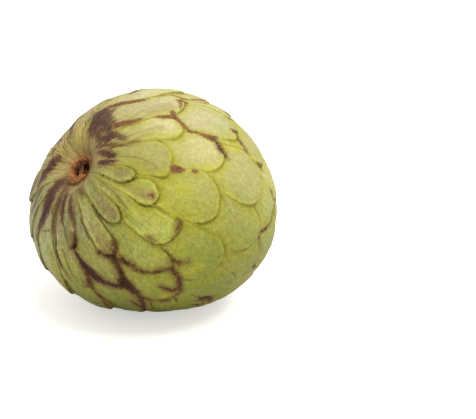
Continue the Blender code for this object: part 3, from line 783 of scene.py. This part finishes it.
def skin_object():
    mesh = bpy.data.meshes.new("skin")
    n, f = len(pos), len(quads)
    mesh.vertices.add(n)
    mesh.vertices.foreach_set("co", pos.astype(np.float32).ravel())
    mesh.loops.add(f * 4)
    mesh.loops.foreach_set("vertex_index", quads.astype(np.int32).ravel())
    mesh.polygons.add(f)
    mesh.polygons.foreach_set("loop_start", np.arange(0, f * 4, 4, dtype=np.int32))
    mesh.update(calc_edges=True)
    mesh.shade_smooth()

    def put(name, values, domain="POINT"):
        att = mesh.attributes.new(name, "FLOAT", domain)
        att.data.foreach_set("value", np.asarray(values, np.float32))

    put("seam", per_corner(np.clip(signed, -9, 9)), "CORNER")
    put("vein", per_corner(np.clip(vein_across, -9, 9)), "CORNER")
    put("vein_width", np.clip(vein + np.abs(vein_across), 0, 1))
    put("cork", np.clip(corky, -4, 4))
    put("rust", np.clip(rusty, -4, 4))
    put("smoke", np.clip(smoke, -4, 4))
    put("smoke_power", smoke_power)
    put("moss", np.clip(moss, -4, 4))
    put("polar", pol)
    put("from_pit", from_pit)
    put("far_wall", np.clip(1.5 * lobe(27, 65, 17), 0, 1))
    put("open", open_skin)
    put("seam_dark", seam_dark)
    put("seam_red", seam_red)
    put("soot", soot)
    put("shady", shady)
    put("calm", np.clip(1 - 0.75 * sunny - 0.45 * lobe(52, 296, 16), 0.15, 1))
    put("olive", np.clip(1.4 * lobe(66, 272, 20), 0, 1))
    # painted highlight along the ridge of the fold, and painted shadow on its lower far side
    put("fold_highlight", along * np.exp(-((fold_across + 0.5) / 0.8) ** 2))
    put("fold_shadow", along * np.exp(-((fold_across - 1.6) / 1.2) ** 2))
    col = mesh.attributes.new("tone", "FLOAT_COLOR", "POINT")
    rgba = np.concatenate([np.clip(colour, 0, 1), np.ones((n, 1))], 1).astype(np.float32)
    col.data.foreach_set("color", rgba.ravel())
    rays = mesh.attributes.new("rays", "FLOAT_VECTOR", "POINT")
    vec = np.stack([np.cos(np.radians(lon)) * 10, np.sin(np.radians(lon)) * 10, pol / 20.0], -1)
    rays.data.foreach_set("vector", vec.astype(np.float32).ravel())
    local = mesh.attributes.new("place", "FLOAT_VECTOR", "POINT")
    local.data.foreach_set("vector", p_mm.astype(np.float32).ravel())
    ob = bpy.data.objects.new("skin", mesh)
    scene.collection.objects.link(ob)
    return ob


# ---------------------------------------------------------------- materials --
class Nodes:
    """Short hand for building a node tree."""

    def __init__(self, mat):
        self.tree = mat.node_tree
        self.n, self.l = self.tree.nodes, self.tree.links

    def add(self, kind):
        return self.n.new(kind)

    def set(self, node, key, value):
        sock = node.inputs[int(key[1:])] if key[0] == "i" and key[1:].isdigit() else node.inputs[key]
        if isinstance(value, bpy.types.NodeSocket):
            self.l.new(value, sock)
        else:
            sock.default_value = value

    def attr(self, name):
        node = self.n.new("ShaderNodeAttribute")
        node.attribute_name = name
        return node

    def value(self, name):
        return self.attr(name).outputs["Fac"]

    def math(self, op, a, b=0.0, clamp=False):
        node = self.n.new("ShaderNodeMath")
        node.operation = op
        node.use_clamp = clamp
        self.set(node, "i0", a)
        if op not in ("ABSOLUTE", "SQRT"):
            self.set(node, "i1", b)
        return node.outputs[0]

    def times(self, *values):
        out = values[0]
        for v in values[1:]:
            out = self.math("MULTIPLY", out, v)
        return out

    def plus(self, *values):
        out = values[0]
        for v in values[1:]:
            out = self.math("ADD", out, v)
        return out

    def around(self, value, amount):
        """A noise value turned into a swing about zero."""
        return self.math("MULTIPLY", self.math("SUBTRACT", value, 0.5), amount)

    def ramp(self, value, lo, hi, out_lo=0.0, out_hi=1.0):
        node = self.n.new("ShaderNodeMapRange")
        node.interpolation_type = "SMOOTHSTEP"
        for key, v in (("Value", value), ("From Min", lo), ("From Max", hi), ("To Min", out_lo), ("To Max", out_hi)):
            self.set(node, key, v)
        return node.outputs[0]

    def noise(self, vector, scale, detail=3.0, rough=0.55, offset=None):
        if offset is not None:
            m = self.n.new("ShaderNodeVectorMath")
            m.operation = "ADD"
            self.l.new(vector, m.inputs[0])
            m.inputs[1].default_value = offset
            vector = m.outputs[0]
        node = self.n.new("ShaderNodeTexNoise")
        self.l.new(vector, node.inputs["Vector"])
        node.inputs["Scale"].default_value = scale
        node.inputs["Detail"].default_value = detail
        node.inputs["Roughness"].default_value = rough
        return node.outputs["Fac"]

    def mix(self, fac, a, b, mode="MIX"):
        node = self.n.new("ShaderNodeMix")
        node.data_type = "RGBA"
        node.blend_type = mode
        self.set(node, "i0", fac)
        for i, v in ((6, a), (7, b)):
            if isinstance(v, bpy.types.NodeSocket):
                self.l.new(v, node.inputs[i])
            else:
                node.inputs[i].default_value = (v[0], v[1], v[2], 1.0)
        return node.outputs[2]

    def grey(self, value):
        node = self.n.new("ShaderNodeCombineColor")
        for i in range(3):
            self.l.new(value, node.inputs[i])
        return node.outputs[0]


def new_material(name):
    mat = bpy.data.materials.new(name)
    mat.use_nodes = True
    return mat, Nodes(mat), mat.node_tree.nodes["Principled BSDF"]


def paint(r, g, b):
    return tuple(float(v) for v in tone(r, g, b))


def skin_material():
    mat, N, bsdf = new_material("custard_apple_skin")
    place = N.attr("place").outputs["Vector"]
    rays = N.attr("rays").outputs["Vector"]
    polar, open_ = N.value("polar"), N.value("open")

    fine = N.noise(place, 1.75, 2.0, 0.6)
    mid = N.noise(place, 0.60, 4.0, 0.62)
    broad = N.noise(place, 0.17, 3.0, 0.5)
    grain = N.noise(place, 3.4, 2.0, 0.5, (31, 7, 3))
    rag = N.noise(place, 1.05, 3.0, 0.65, (11, 3, 27))
    streak = N.noise(rays, 2.4, 3.0, 0.62)
    streak2 = N.noise(rays, 3.4, 3.0, 0.65, (5, 9, 2))
    near = N.ramp(polar, 46.0, 16.0)
    shady = N.value("shady")

    # speckled ground: pale yellow dots on a greener web
    calm = N.value("calm")
    col = N.attr("tone").outputs["Color"]
    col = N.mix(N.ramp(calm, 0.15, 1.0, 0.45, 1.0), col, N.grey(N.ramp(fine, 0.30, 0.70, N.ramp(shady, 0.1, 0.8, 0.83, 0.74), N.ramp(shady, 0.1, 0.8, 1.14, 1.20))), "MULTIPLY")
    col = N.mix(N.ramp(calm, 0.15, 1.0, 0.60, 1.0), col, N.grey(N.ramp(mid, 0.32, 0.68, 0.79, 1.15)), "MULTIPLY")
    col = N.mix(N.times(N.ramp(fine, 0.53, 0.68), calm, 0.22), col, paint(226, 224, 178))
    col = N.mix(N.times(N.ramp(grain, 0.50, 0.32), calm, 0.28), col, paint(140, 148, 20))
    col = N.mix(N.times(N.ramp(broad, 0.46, 0.70), calm, 0.24), col, paint(156, 164, 56))

    blush = N.noise(place, 0.33, 4.0, 0.6, (60, 2, 9))
    col = N.mix(N.times(N.ramp(blush, 0.50, 0.68), 0.26), col, paint(196, 164, 112))
    col = N.mix(N.times(N.ramp(blush, 0.46, 0.32), calm, 0.24), col, paint(140, 152, 70))
    # fine lengthwise lines, strongest on the long scales of the shady side
    lines = N.noise(rays, 3.4, 3.0, 0.65, (2, 14, 6))
    col = N.mix(N.times(N.ramp(lines, 0.52, 0.66), shady, 0.50), col, paint(112, 116, 58))
    col = N.mix(N.times(N.ramp(lines, 0.44, 0.32), shady, 0.40), col, paint(204, 190, 142))

    wall = N.times(N.value("far_wall"), open_)
    ribs = N.noise(rays, 2.3, 3.0, 0.65, (9, 4, 1))

    # streaks that run out from the stalk
    col = N.mix(N.times(N.ramp(streak, 0.44, 0.64), near, 0.34), col, paint(120, 112, 58))
    col = N.mix(N.times(N.ramp(streak2, 0.50, 0.66), near, 0.40), col, paint(212, 190, 146))
    col = N.mix(N.times(N.ramp(ribs, 0.50, 0.62), wall, 0.74), col, paint(122, 98, 54))
    col = N.mix(N.times(N.ramp(ribs, 0.47, 0.37), wall, 0.50), col, paint(216, 196, 148))
    collar = N.ramp(polar, 21.0, 13.0)
    col = N.mix(N.times(N.ramp(ribs, 0.46, 0.36), collar, 0.60), col, paint(216, 190, 140))
    col = N.mix(N.times(N.ramp(ribs, 0.52, 0.66), collar, 0.55), col, paint(120, 96, 54))
    pit = N.ramp(polar, 24.0, 11.0)
    col = N.mix(N.times(N.ramp(streak2, 0.52, 0.36), pit, 0.55), col, paint(104, 84, 40))

    # seams: fine lines, from olive to brown
    seam_d = N.math("ABSOLUTE", N.value("seam"))
    seam_w = N.plus(seam_d, N.around(mid, 0.60), N.around(fine, 0.55))
    dark = N.value("seam_dark")
    breaks = N.ramp(N.noise(place, 0.28, 3.0, 0.6, (7, 70, 17)), 0.40, 0.58, 0.35, 1.0)
    line = N.times(N.ramp(seam_w, 0.60, 0.10), open_, breaks)
    soft = N.times(N.ramp(seam_w, 1.15, 0.0), open_)
    line_col = N.mix(N.value("seam_red"), paint(78, 64, 26), paint(116, 74, 38))
    col = N.mix(N.times(soft, N.ramp(wall, 0.0, 0.8, 0.55, 0.0)), col, N.mix(dark, paint(196, 188, 36), paint(134, 118, 34)))
    col = N.mix(N.times(line, dark, 0.92), col, line_col)

    # veins
    vein_d = N.math("ABSOLUTE", N.value("vein"))
    vein_r = N.math("SUBTRACT", N.value("vein_width"), N.plus(vein_d, N.around(mid, 0.20)))
    vein_l = N.ramp(vein_r, -0.34, 0.10)
    vein_soft = N.times(N.ramp(vein_r, -1.10, 0.0), shady)
    # painted highlight along the fold's ridge and painted shadow just beyond it
    col = N.mix(N.times(N.value("fold_highlight"), 0.60), col, paint(226, 200, 158))
    col = N.mix(N.times(N.value("fold_shadow"), 0.35), col, paint(112, 96, 52))
    col = N.mix(N.times(vein_soft, 0.34), col, paint(112, 96, 52))
    col = N.mix(N.times(vein_l, N.ramp(shady, 0.2, 0.8, 0.22, 0.58)), col,
                N.mix(N.ramp(shady, 0.2, 0.8), paint(120, 104, 42), paint(96, 70, 44)))

    # nearly black-green marks
    md = N.plus(N.value("moss"), N.around(mid, 2.2), N.around(rag, 3.4), -0.05)
    col = N.mix(N.times(N.ramp(md, -0.30, 0.20), 0.78), col, paint(74, 70, 38))

    # smoky purple smudges, broken into streaks and grains
    sp = N.value("smoke_power")
    sk = N.plus(N.value("smoke"), N.around(streak, 4.2), N.around(mid, 2.4), N.around(rag, 3.6), N.around(fine, 3.6), N.around(grain, 3.6), 0.88)
    haze = N.times(N.ramp(sk, -2.2, 0.2), sp)
    col = N.mix(N.times(haze, 0.50), col, paint(158, 122, 80))
    core = N.times(N.ramp(sk, -0.40, 0.35), sp)
    col = N.mix(N.times(core, 0.90), col, N.mix(N.ramp(grain, 0.36, 0.62), paint(98, 58, 48), paint(144, 100, 76)))
    deep = N.times(N.ramp(sk, 0.35, 1.5), sp)
    col = N.mix(N.times(deep, 0.70), col, paint(72, 42, 42))

    # red-brown scabs
    rd = N.plus(N.value("rust"), N.around(mid, 1.8), N.around(rag, 2.6), N.around(fine, 1.6), 0.30)
    rust_halo = N.ramp(rd, -1.30, 0.05)
    rust = N.ramp(rd, -0.36, 0.34)
    col = N.mix(N.times(rust_halo, 0.50), col, paint(186, 148, 92))
    col = N.mix(N.times(rust, 0.90), col, N.mix(N.ramp(rag, 0.36, 0.64), paint(100, 56, 38), paint(164, 112, 72)))

    # dark corky scars
    olive = N.value("olive")
    patchy = N.noise(place, 0.26, 3.0, 0.62, (41, 17, 8))
    ck = N.plus(N.value("cork"), N.around(patchy, 3.5), N.around(mid, 2.2), N.around(rag, 2.4), N.around(fine, 2.0), N.around(grain, 1.4), 0.16)
    halo = N.ramp(ck, -2.4, 0.05)
    near_cork = N.ramp(N.value("cork"), -3.0, -0.1)
    col = N.mix(N.times(near_cork, N.ramp(rag, 0.49, 0.62), 0.66), col, paint(122, 84, 42))
    col = N.mix(N.times(near_cork, N.ramp(fine, 0.54, 0.70), 0.50), col, paint(206, 186, 60))
    cork = N.ramp(ck, -0.28, 0.16)
    col = N.mix(N.times(halo, 0.66), col, paint(124, 86, 42))
    col = N.mix(N.times(cork, 0.93), col, N.mix(N.ramp(rag, 0.36, 0.66), N.mix(olive, paint(54, 25, 22), paint(78, 56, 20)),
                                              N.mix(olive, paint(122, 68, 46), paint(142, 108, 40))))
    col = N.mix(N.times(N.ramp(ck, 0.5, 1.9), 0.60), col, N.mix(olive, paint(40, 17, 18), paint(66, 44, 18)))
    # sooty speckle low on the fruit
    sd = N.times(N.ramp(grain, 0.52, 0.66), N.ramp(mid, 0.44, 0.62), N.value("soot"))
    col = N.mix(N.times(sd, 0.45), col, paint(92, 78, 36))

    # torn, rusty skin at the foot of the stalk
    fd = N.plus(N.value("from_pit"), N.around(streak, 9.0), N.around(streak2, 7.0))
    col = N.mix(N.times(N.ramp(fd, 12.6, 8.6), 0.62), col, paint(206, 152, 100))
    col = N.mix(N.times(N.ramp(fd, 8.8, 6.6), 0.85), col, paint(172, 108, 66))
    col = N.mix(N.times(N.ramp(N.value("from_pit"), 5.4, 3.8), 0.80), col, paint(92, 38, 20))

    N.set(bsdf, "Base Color", col)
    scars = N.math("MAXIMUM", cork, rust)
    N.set(bsdf, "Roughness", N.ramp(scars, 0.0, 1.0, 0.56, 0.82))
    bsdf.inputs["Specular IOR Level"].default_value = 0.20

    height = N.plus(N.times(fine, 0.55), N.times(grain, 0.30), N.times(streak2, near, 0.9),
                    N.times(scars, mid, 0.8), N.times(line, -0.45), N.times(vein_l, -0.4))
    bump = N.add("ShaderNodeBump")
    bump.inputs["Strength"].default_value = 0.40
    bump.inputs["Distance"].default_value = 0.00035
    N.set(bump, "Height", height)
    N.set(bsdf, "Normal", bump.outputs["Normal"])
    return mat


# --------------------------------------------------------------------- stub --
class Tubes:
    """Gathers many thin tapering tubes into one mesh."""

    def __init__(self):
        self.verts, self.faces, self.shade = [], [], []

    def add(self, path, thick, shade, sides=5, tip=0.25):
        path = np.asarray(path, float)
        n = len(path)
        tan = np.gradient(path, axis=0)
        tan /= np.linalg.norm(tan, axis=1)[:, None] + 1e-12
        ref = np.array([0.0, 0.0, 1.0])
        if abs(tan[n // 2] @ ref) > 0.8:
            ref = np.array([1.0, 0.0, 0.0])
        start = len(self.verts)
        for i in range(n):
            a = np.cross(tan[i], ref)
            a /= np.linalg.norm(a) + 1e-12
            b = np.cross(tan[i], a)
            f = i / (n - 1)
            w = thick * (1 - (1 - tip) * f ** 2) * (0.75 + 0.25 * min(1.0, 4 * f))
            for m in range(sides):
                q = 2 * math.pi * m / sides
                self.verts.append(path[i] + w * (a * math.cos(q) + b * math.sin(q)))
                self.shade.append(shade)
        for i in range(n - 1):
            for m in range(sides):
                p, q = start + i * sides + m, start + i * sides + (m + 1) % sides
                self.faces.append((p, q, q + sides, p + sides))
        self.faces.append(tuple(start + m for m in reversed(range(sides))))
        self.faces.append(tuple(start + (n - 1) * sides + m for m in range(sides)))


def stub_object():
    """What is left of the stalk: a torn, fibrous crater set in the pit."""
    rng = np.random.default_rng(12)
    rim = 0.0401                       # height of the lip along the stalk
    small = 0.90
    hx, hy = 0.0007, -0.0015           # where the hollow is deepest
    na, nr = 150, 52
    o = np.array([(0.0, -8.4), (3.4, -8.3), (5.6, -4.4), (6.5, -1.5), (6.3, -0.9), (5.7, -0.2), (5.2, 0.1), (4.8, 0.0),
                  (4.4, -0.8), (4.0, -2.6), (3.6, -4.6), (2.7, -6.2), (1.3, -7.0), (0.0, -7.2)]) * 0.001
    o[:, 1] += rim
    s = np.concatenate([[0], np.cumsum(np.hypot(*np.diff(o, axis=0).T))])
    ss = np.linspace(0, s[-1], nr)
    rr, zz = np.interp(ss, s, o[:, 0]), np.interp(ss, s, o[:, 1])
    ang = np.arange(na) * 2 * math.pi / na

    def ragged(a):
        """How high the torn lip stands, round the stalk."""
        c = np.stack([np.cos(a), np.sin(a), np.zeros_like(a)], -1)
        worn = np.exp(-((np.degrees(a) - 312 + 180) % 360 - 180) ** 2 / 3600.0)
        return 0.0009 * fbm(c * 2.6, 57, 3) - 0.0002 - 0.0026 * worn

    def wall(r):
        return np.interp(r, o[::-1, 0][:9], o[::-1, 1][:9])

    T = Tubes()
    for j in range(1, nr - 1):
        u = j / (nr - 1)
        ring = np.stack([np.cos(ang), np.sin(ang), np.zeros(na)], -1)
        rag = fbm(ring * 4 + np.array([0, 0, u * 3]), 51, 3) * 0.0007 * smooth(0.1, 0.4, u)
        rib = noise(ring * 13 + np.array([0, 0, u * 1.2]), 55) * 0.00028
        high = smooth(0.25, 0.45, u) * (1 - smooth(0.72, 0.98, u))
        r = np.maximum(rr[j] + (rag + rib) * min(1.0, rr[j] / 0.002), 0.00005)
        z = zz[j] + (ragged(ang) + rag * 0.4) * high
        off = smooth(0.55, 0.9, u)
        for k in range(na):
            T.verts.append(np.array([r[k] * math.cos(ang[k]) + hx * off, r[k] * math.sin(ang[k]) + hy * off, z[k]]))
            T.shade.append(0.50 if u < 0.62 else 0.30)
    rows = nr - 2
    for j in range(rows - 1):
        for k in range(na):
            a, b = j * na + k, j * na + (k + 1) % na
            T.faces.append((a, b, b + na, a + na))
    T.verts += [np.array([0, 0, zz[0]]), np.array([hx, hy, zz[-1]])]
    T.shade += [0.4, 0.1]
    low, deep = len(T.verts) - 2, len(T.verts) - 1
    for k in range(na):
        T.faces.append((low, (k + 1) % na, k))
        a = (rows - 1) * na
        T.faces.append((deep, a + k, a + (k + 1) % na))
    # fibres down the inside of the crater, some with their ends torn free
    for i in range(110):
        a = 2 * math.pi * (i + rng.uniform(-0.5, 0.5)) / 110
        f = np.linspace(0, 1, 10)
        r1, r0 = rng.uniform(2.9, 3.9) * 0.001, rng.uniform(4.5, 5.3) * 0.001
        r = r1 + (r0 - r1) * f
        aa = a + rng.uniform(-0.45, 0.45) * (1 - f) + 0.10 * np.sin(f * rng.uniform(3, 8) + rng.uniform(0, 6))
        free = rng.uniform(0.0001, 0.0009) if rng.random() < 0.45 else 0.0001
        z = wall(r) + ragged(aa) * smooth(0.3, 0.9, f) + 0.00015 + free * f ** 2 + rng.uniform(0, 0.0003)
        T.add(np.stack([r * np.cos(aa) + hx * (1 - f), r * np.sin(aa) + hy * (1 - f), z], -1),
              rng.uniform(0.00009, 0.00021), rng.choice([0.25, 0.45, 0.65, 0.95], p=[0.3, 0.3, 0.25, 0.15]), 5, 0.5)
    # strands that run round the lip
    for i in range(44):
        a0, span = rng.uniform(0, 2 * math.pi), rng.uniform(0.4, 1.3) * (1 if rng.random() < 0.5 else -1)
        r0 = rng.uniform(0.0042, 0.0060)
        f = np.linspace(0, 1, 12)
        aa = a0 + span * f
        r = r0 + rng.uniform(-0.0007, 0.0007) * f + 0.0002 * np.sin(f * rng.uniform(4, 9) + rng.uniform(0, 6))
        z = np.interp(r, [0.0040, 0.0046, 0.0052, 0.0058, 0.0066], [rim - 0.0012, rim - 0.0001, rim + 0.0002, rim - 0.0002, rim - 0.0010]) \
            + ragged(aa) + rng.uniform(0.0, 0.0003) + 0.0006 * f ** 3 * rng.uniform(0, 1.5)
        T.add(np.stack([r * np.cos(aa), r * np.sin(aa), z], -1), rng.uniform(0.00010, 0.00022),
              rng.choice([0.5, 0.7, 0.95, 1.1]), 5, 0.3)
    # splinters that lie out over the skin
    for i in range(96):
        a = 2 * math.pi * (i + rng.uniform(-0.5, 0.5)) / 96
        length = rng.uniform(0.0007, 0.0024)
        f = np.linspace(0, 1, 7)
        r = 0.0050 + 0.0008 * rng.random() + length * f
        aa = a + rng.uniform(-0.16, 0.16) * f
        skin_z = np.interp(r, [0.0052, 0.0060, 0.0068, 0.0082], [rim - 0.0006, rim - 0.0009, rim - 0.0003, rim + 0.0010])
        z = skin_z + 0.0002 + (ragged(aa) + 0.0005) * (1 - f) ** 2 + rng.uniform(0, 0.0002)
        T.add(np.stack([r * np.cos(aa), r * np.sin(aa), z], -1), rng.uniform(0.00008, 0.00019),
              rng.choice([0.6, 0.85, 1.1]), 4, 0.2)
    # a few long torn fibres that cross the hollow
    for i in range(11):
        a = rng.uniform(0, 2 * math.pi)
        b = a + rng.uniform(1.2, 2.6)
        f = np.linspace(0, 1, 12)
        pa, pb = 0.0044 * np.array([math.cos(a), math.sin(a)]), rng.uniform(0.0008, 0.0040) * np.array([math.cos(b), math.sin(b)])
        xy = pa[None] * (1 - f[:, None]) + pb[None] * f[:, None]
        bend = rng.uniform(-0.0006, 0.0006) * np.sin(math.pi * f)
        xy[:, 0] += bend
        xy[:, 1] -= bend
        z = rim - 0.0006 - rng.uniform(0.0004, 0.0020) * f ** 0.7 + rng.uniform(-0.0004, 0.0003)
        T.add(np.concatenate([xy, np.broadcast_to(z, (12,))[:, None]], 1), rng.uniform(0.00010, 0.00018),
              rng.choice([0.6, 0.9, 1.0]), 5, 0.4)
    v = np.array(T.verts)
    place = v.copy()
    v[:, :2] *= small
    away = math.radians(107.0)
    v[:, 0] += math.cos(away) * rim * math.tan(math.radians(PIT_SHIFT))
    v[:, 1] += math.sin(away) * rim * math.tan(math.radians(PIT_SHIFT))
    world = v @ TO_WORLD.T + CENTRE
    mesh = bpy.data.meshes.new("torn_stalk")
    mesh.from_pydata(world.tolist(), [], T.faces)
    mesh.shade_smooth()
    for name, values in (("rise", (place[:, 2] - (rim - 0.0045)) * 1000), ("shade", np.array(T.shade))):
        att = mesh.attributes.new(name, "FLOAT", "POINT")
        att.data.foreach_set("value", np.asarray(values, np.float32))
    loc = mesh.attributes.new("place", "FLOAT_VECTOR", "POINT")
    loc.data.foreach_set("vector", (place * 1000).astype(np.float32).ravel())
    ob = bpy.data.objects.new("torn_stalk", mesh)
    scene.collection.objects.link(ob)
    return ob


def stub_material():
    mat, N, bsdf = new_material("torn_stalk_wood")
    place = N.attr("place").outputs["Vector"]
    rise, shade = N.value("rise"), N.value("shade")
    m = N.add("ShaderNodeMapping")
    m.inputs["Scale"].default_value = (2.6, 2.6, 0.6)
    N.l.new(place, m.inputs["Vector"])
    fibre = N.noise(m.outputs[0], 1.0, 4.0, 0.65)
    fine = N.noise(place, 3.0, 3.0, 0.6)
    s = N.plus(shade, N.around(fibre, 1.6), 0.20)
    col = N.mix(N.ramp(s, 0.15, 0.75), paint(136, 60, 32), paint(255, 162, 102))
    col = N.mix(N.ramp(s, 0.70, 1.20), col, paint(255, 200, 142))
    col = N.mix(N.times(N.ramp(fine, 0.5, 0.7), 0.35), col, paint(90, 44, 26))
    # painted shade: darker down the inside of the crater, near black at the bottom of its hollow
    col = N.mix(N.times(N.ramp(rise, 4.5, 3.2), 0.62), col, paint(122, 56, 32))
    hollow_shade = N.ramp(rise, 3.7, 1.9)
    col = N.mix(N.times(hollow_shade, 0.93), col, paint(62, 17, 7))
    N.set(bsdf, "Base Color", col)
    bsdf.inputs["Roughness"].default_value = 0.80
    bsdf.inputs["Specular IOR Level"].default_value = 0.25
    bump = N.add("ShaderNodeBump")
    bump.inputs["Strength"].default_value = 0.6
    bump.inputs["Distance"].default_value = 0.0003
    N.set(bump, "Height", fibre)
    N.set(bsdf, "Normal", bump.outputs["Normal"])
    return mat


skin = skin_object()
skin.data.materials.append(skin_material())
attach(skin, "root")
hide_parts("fruit")

stub = stub_object()
stub.data.materials.append(stub_material())
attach(stub, "root")
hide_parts("stem_stub")


# -------------------------------------------------------------------- stage --
def floor():
    mesh = bpy.data.meshes.new("floor")
    s = 3.0
    mesh.from_pydata([(-s, -s, 0), (s, -s, 0), (s, s, 0), (-s, s, 0)], [], [(0, 1, 2, 3)])
    ob = bpy.data.objects.new("floor", mesh)
    scene.collection.objects.link(ob)
    mat, N, bsdf = new_material("pale_floor")
    bsdf.inputs["Base Color"].default_value = (0.93, 0.925, 0.915, 1)
    bsdf.inputs["Roughness"].default_value = 0.9
    bsdf.inputs["Specular IOR Level"].default_value = 0.1
    bsdf.inputs["Emission Color"].default_value = (1.0, 0.99, 0.96, 1)
    seen = N.add("ShaderNodeLightPath").outputs["Is Camera Ray"]
    N.set(bsdf, "Emission Strength", N.times(seen, 0.50))
    mesh.materials.append(mat)
    ob.location.z = -0.0002


floor()

world = bpy.data.worlds.new("studio")
world.use_nodes = True
world.node_tree.nodes["Background"].inputs["Color"].default_value = (1.0, 0.995, 0.985, 1)
sky = world.node_tree.nodes["Background"]
sky.inputs["Strength"].default_value = 0.74
plain = world.node_tree.nodes.new("ShaderNodeBackground")
plain.inputs["Color"].default_value = (1, 1, 1, 1)
plain.inputs["Strength"].default_value = 1.0
either = world.node_tree.nodes.new("ShaderNodeMixShader")
world.node_tree.links.new(world.node_tree.nodes.new("ShaderNodeLightPath").outputs["Is Camera Ray"], either.inputs[0])
world.node_tree.links.new(sky.outputs[0], either.inputs[1])
world.node_tree.links.new(plain.outputs[0], either.inputs[2])
world.node_tree.links.new(either.outputs[0], world.node_tree.nodes["World Output"].inputs["Surface"])
scene.world = world

# Camera: stands at this heading and height, and sees the fruit left of middle.
HEADING, HEIGHT = math.radians(-35.6), math.radians(24.0)
DISTANCE, METRES_PER_UNIT = 0.75, 0.41e-3      # one unit is 1/476 of the view's width
OFF_X, OFF_Y = (150.7 - 238.0), -(206.2 - 209.5)
back = Vector((math.sin(HEADING) * math.cos(HEIGHT), -math.cos(HEADING) * math.cos(HEIGHT), math.sin(HEIGHT)))
right = Vector((math.cos(HEADING), math.sin(HEADING), 0))
up = back.cross(right)
cam_data = bpy.data.cameras.new("camera")
cam_data.sensor_width = 36
cam_data.lens = 36 * (DISTANCE / METRES_PER_UNIT) / 476
cam = bpy.data.objects.new("camera", cam_data)
cam.location = (Vector(CENTRE) + back * DISTANCE - right * (OFF_X * METRES_PER_UNIT)
                - up * (OFF_Y * METRES_PER_UNIT))
cam.rotation_mode = "QUATERNION"
cam.rotation_quaternion = Matrix((right, up, back)).transposed().to_quaternion()
scene.collection.objects.link(cam)
scene.camera = cam


def area_light(name, azimuth, elevation, distance, size, watts, colour):
    """Azimuth as for the camera: the light shines from that side of the fruit."""
    a, e = math.radians(azimuth), math.radians(elevation)
    way = Vector((math.sin(a) * math.cos(e), -math.cos(a) * math.cos(e), math.sin(e)))
    data = bpy.data.lights.new(name, "AREA")
    data.shape = "DISK"
    data.size = size
    data.energy = watts
    data.color = colour
    ob = bpy.data.objects.new(name, data)
    ob.location = Vector((0, 0, 0.045)) + way * distance
    ob.rotation_mode = "QUATERNION"
    ob.rotation_quaternion = way.to_track_quat("Z", "Y")
    scene.collection.objects.link(ob)


area_light("overhead", 44, 70, 1.3, 1.2, 22.5, (1.0, 0.99, 0.965))
area_light("shoulder", 100, 40, 1.3, 0.6, 1.0, (1.0, 0.98, 0.93))

scene.view_settings.view_transform = "Standard"
scene.view_settings.look = "None"
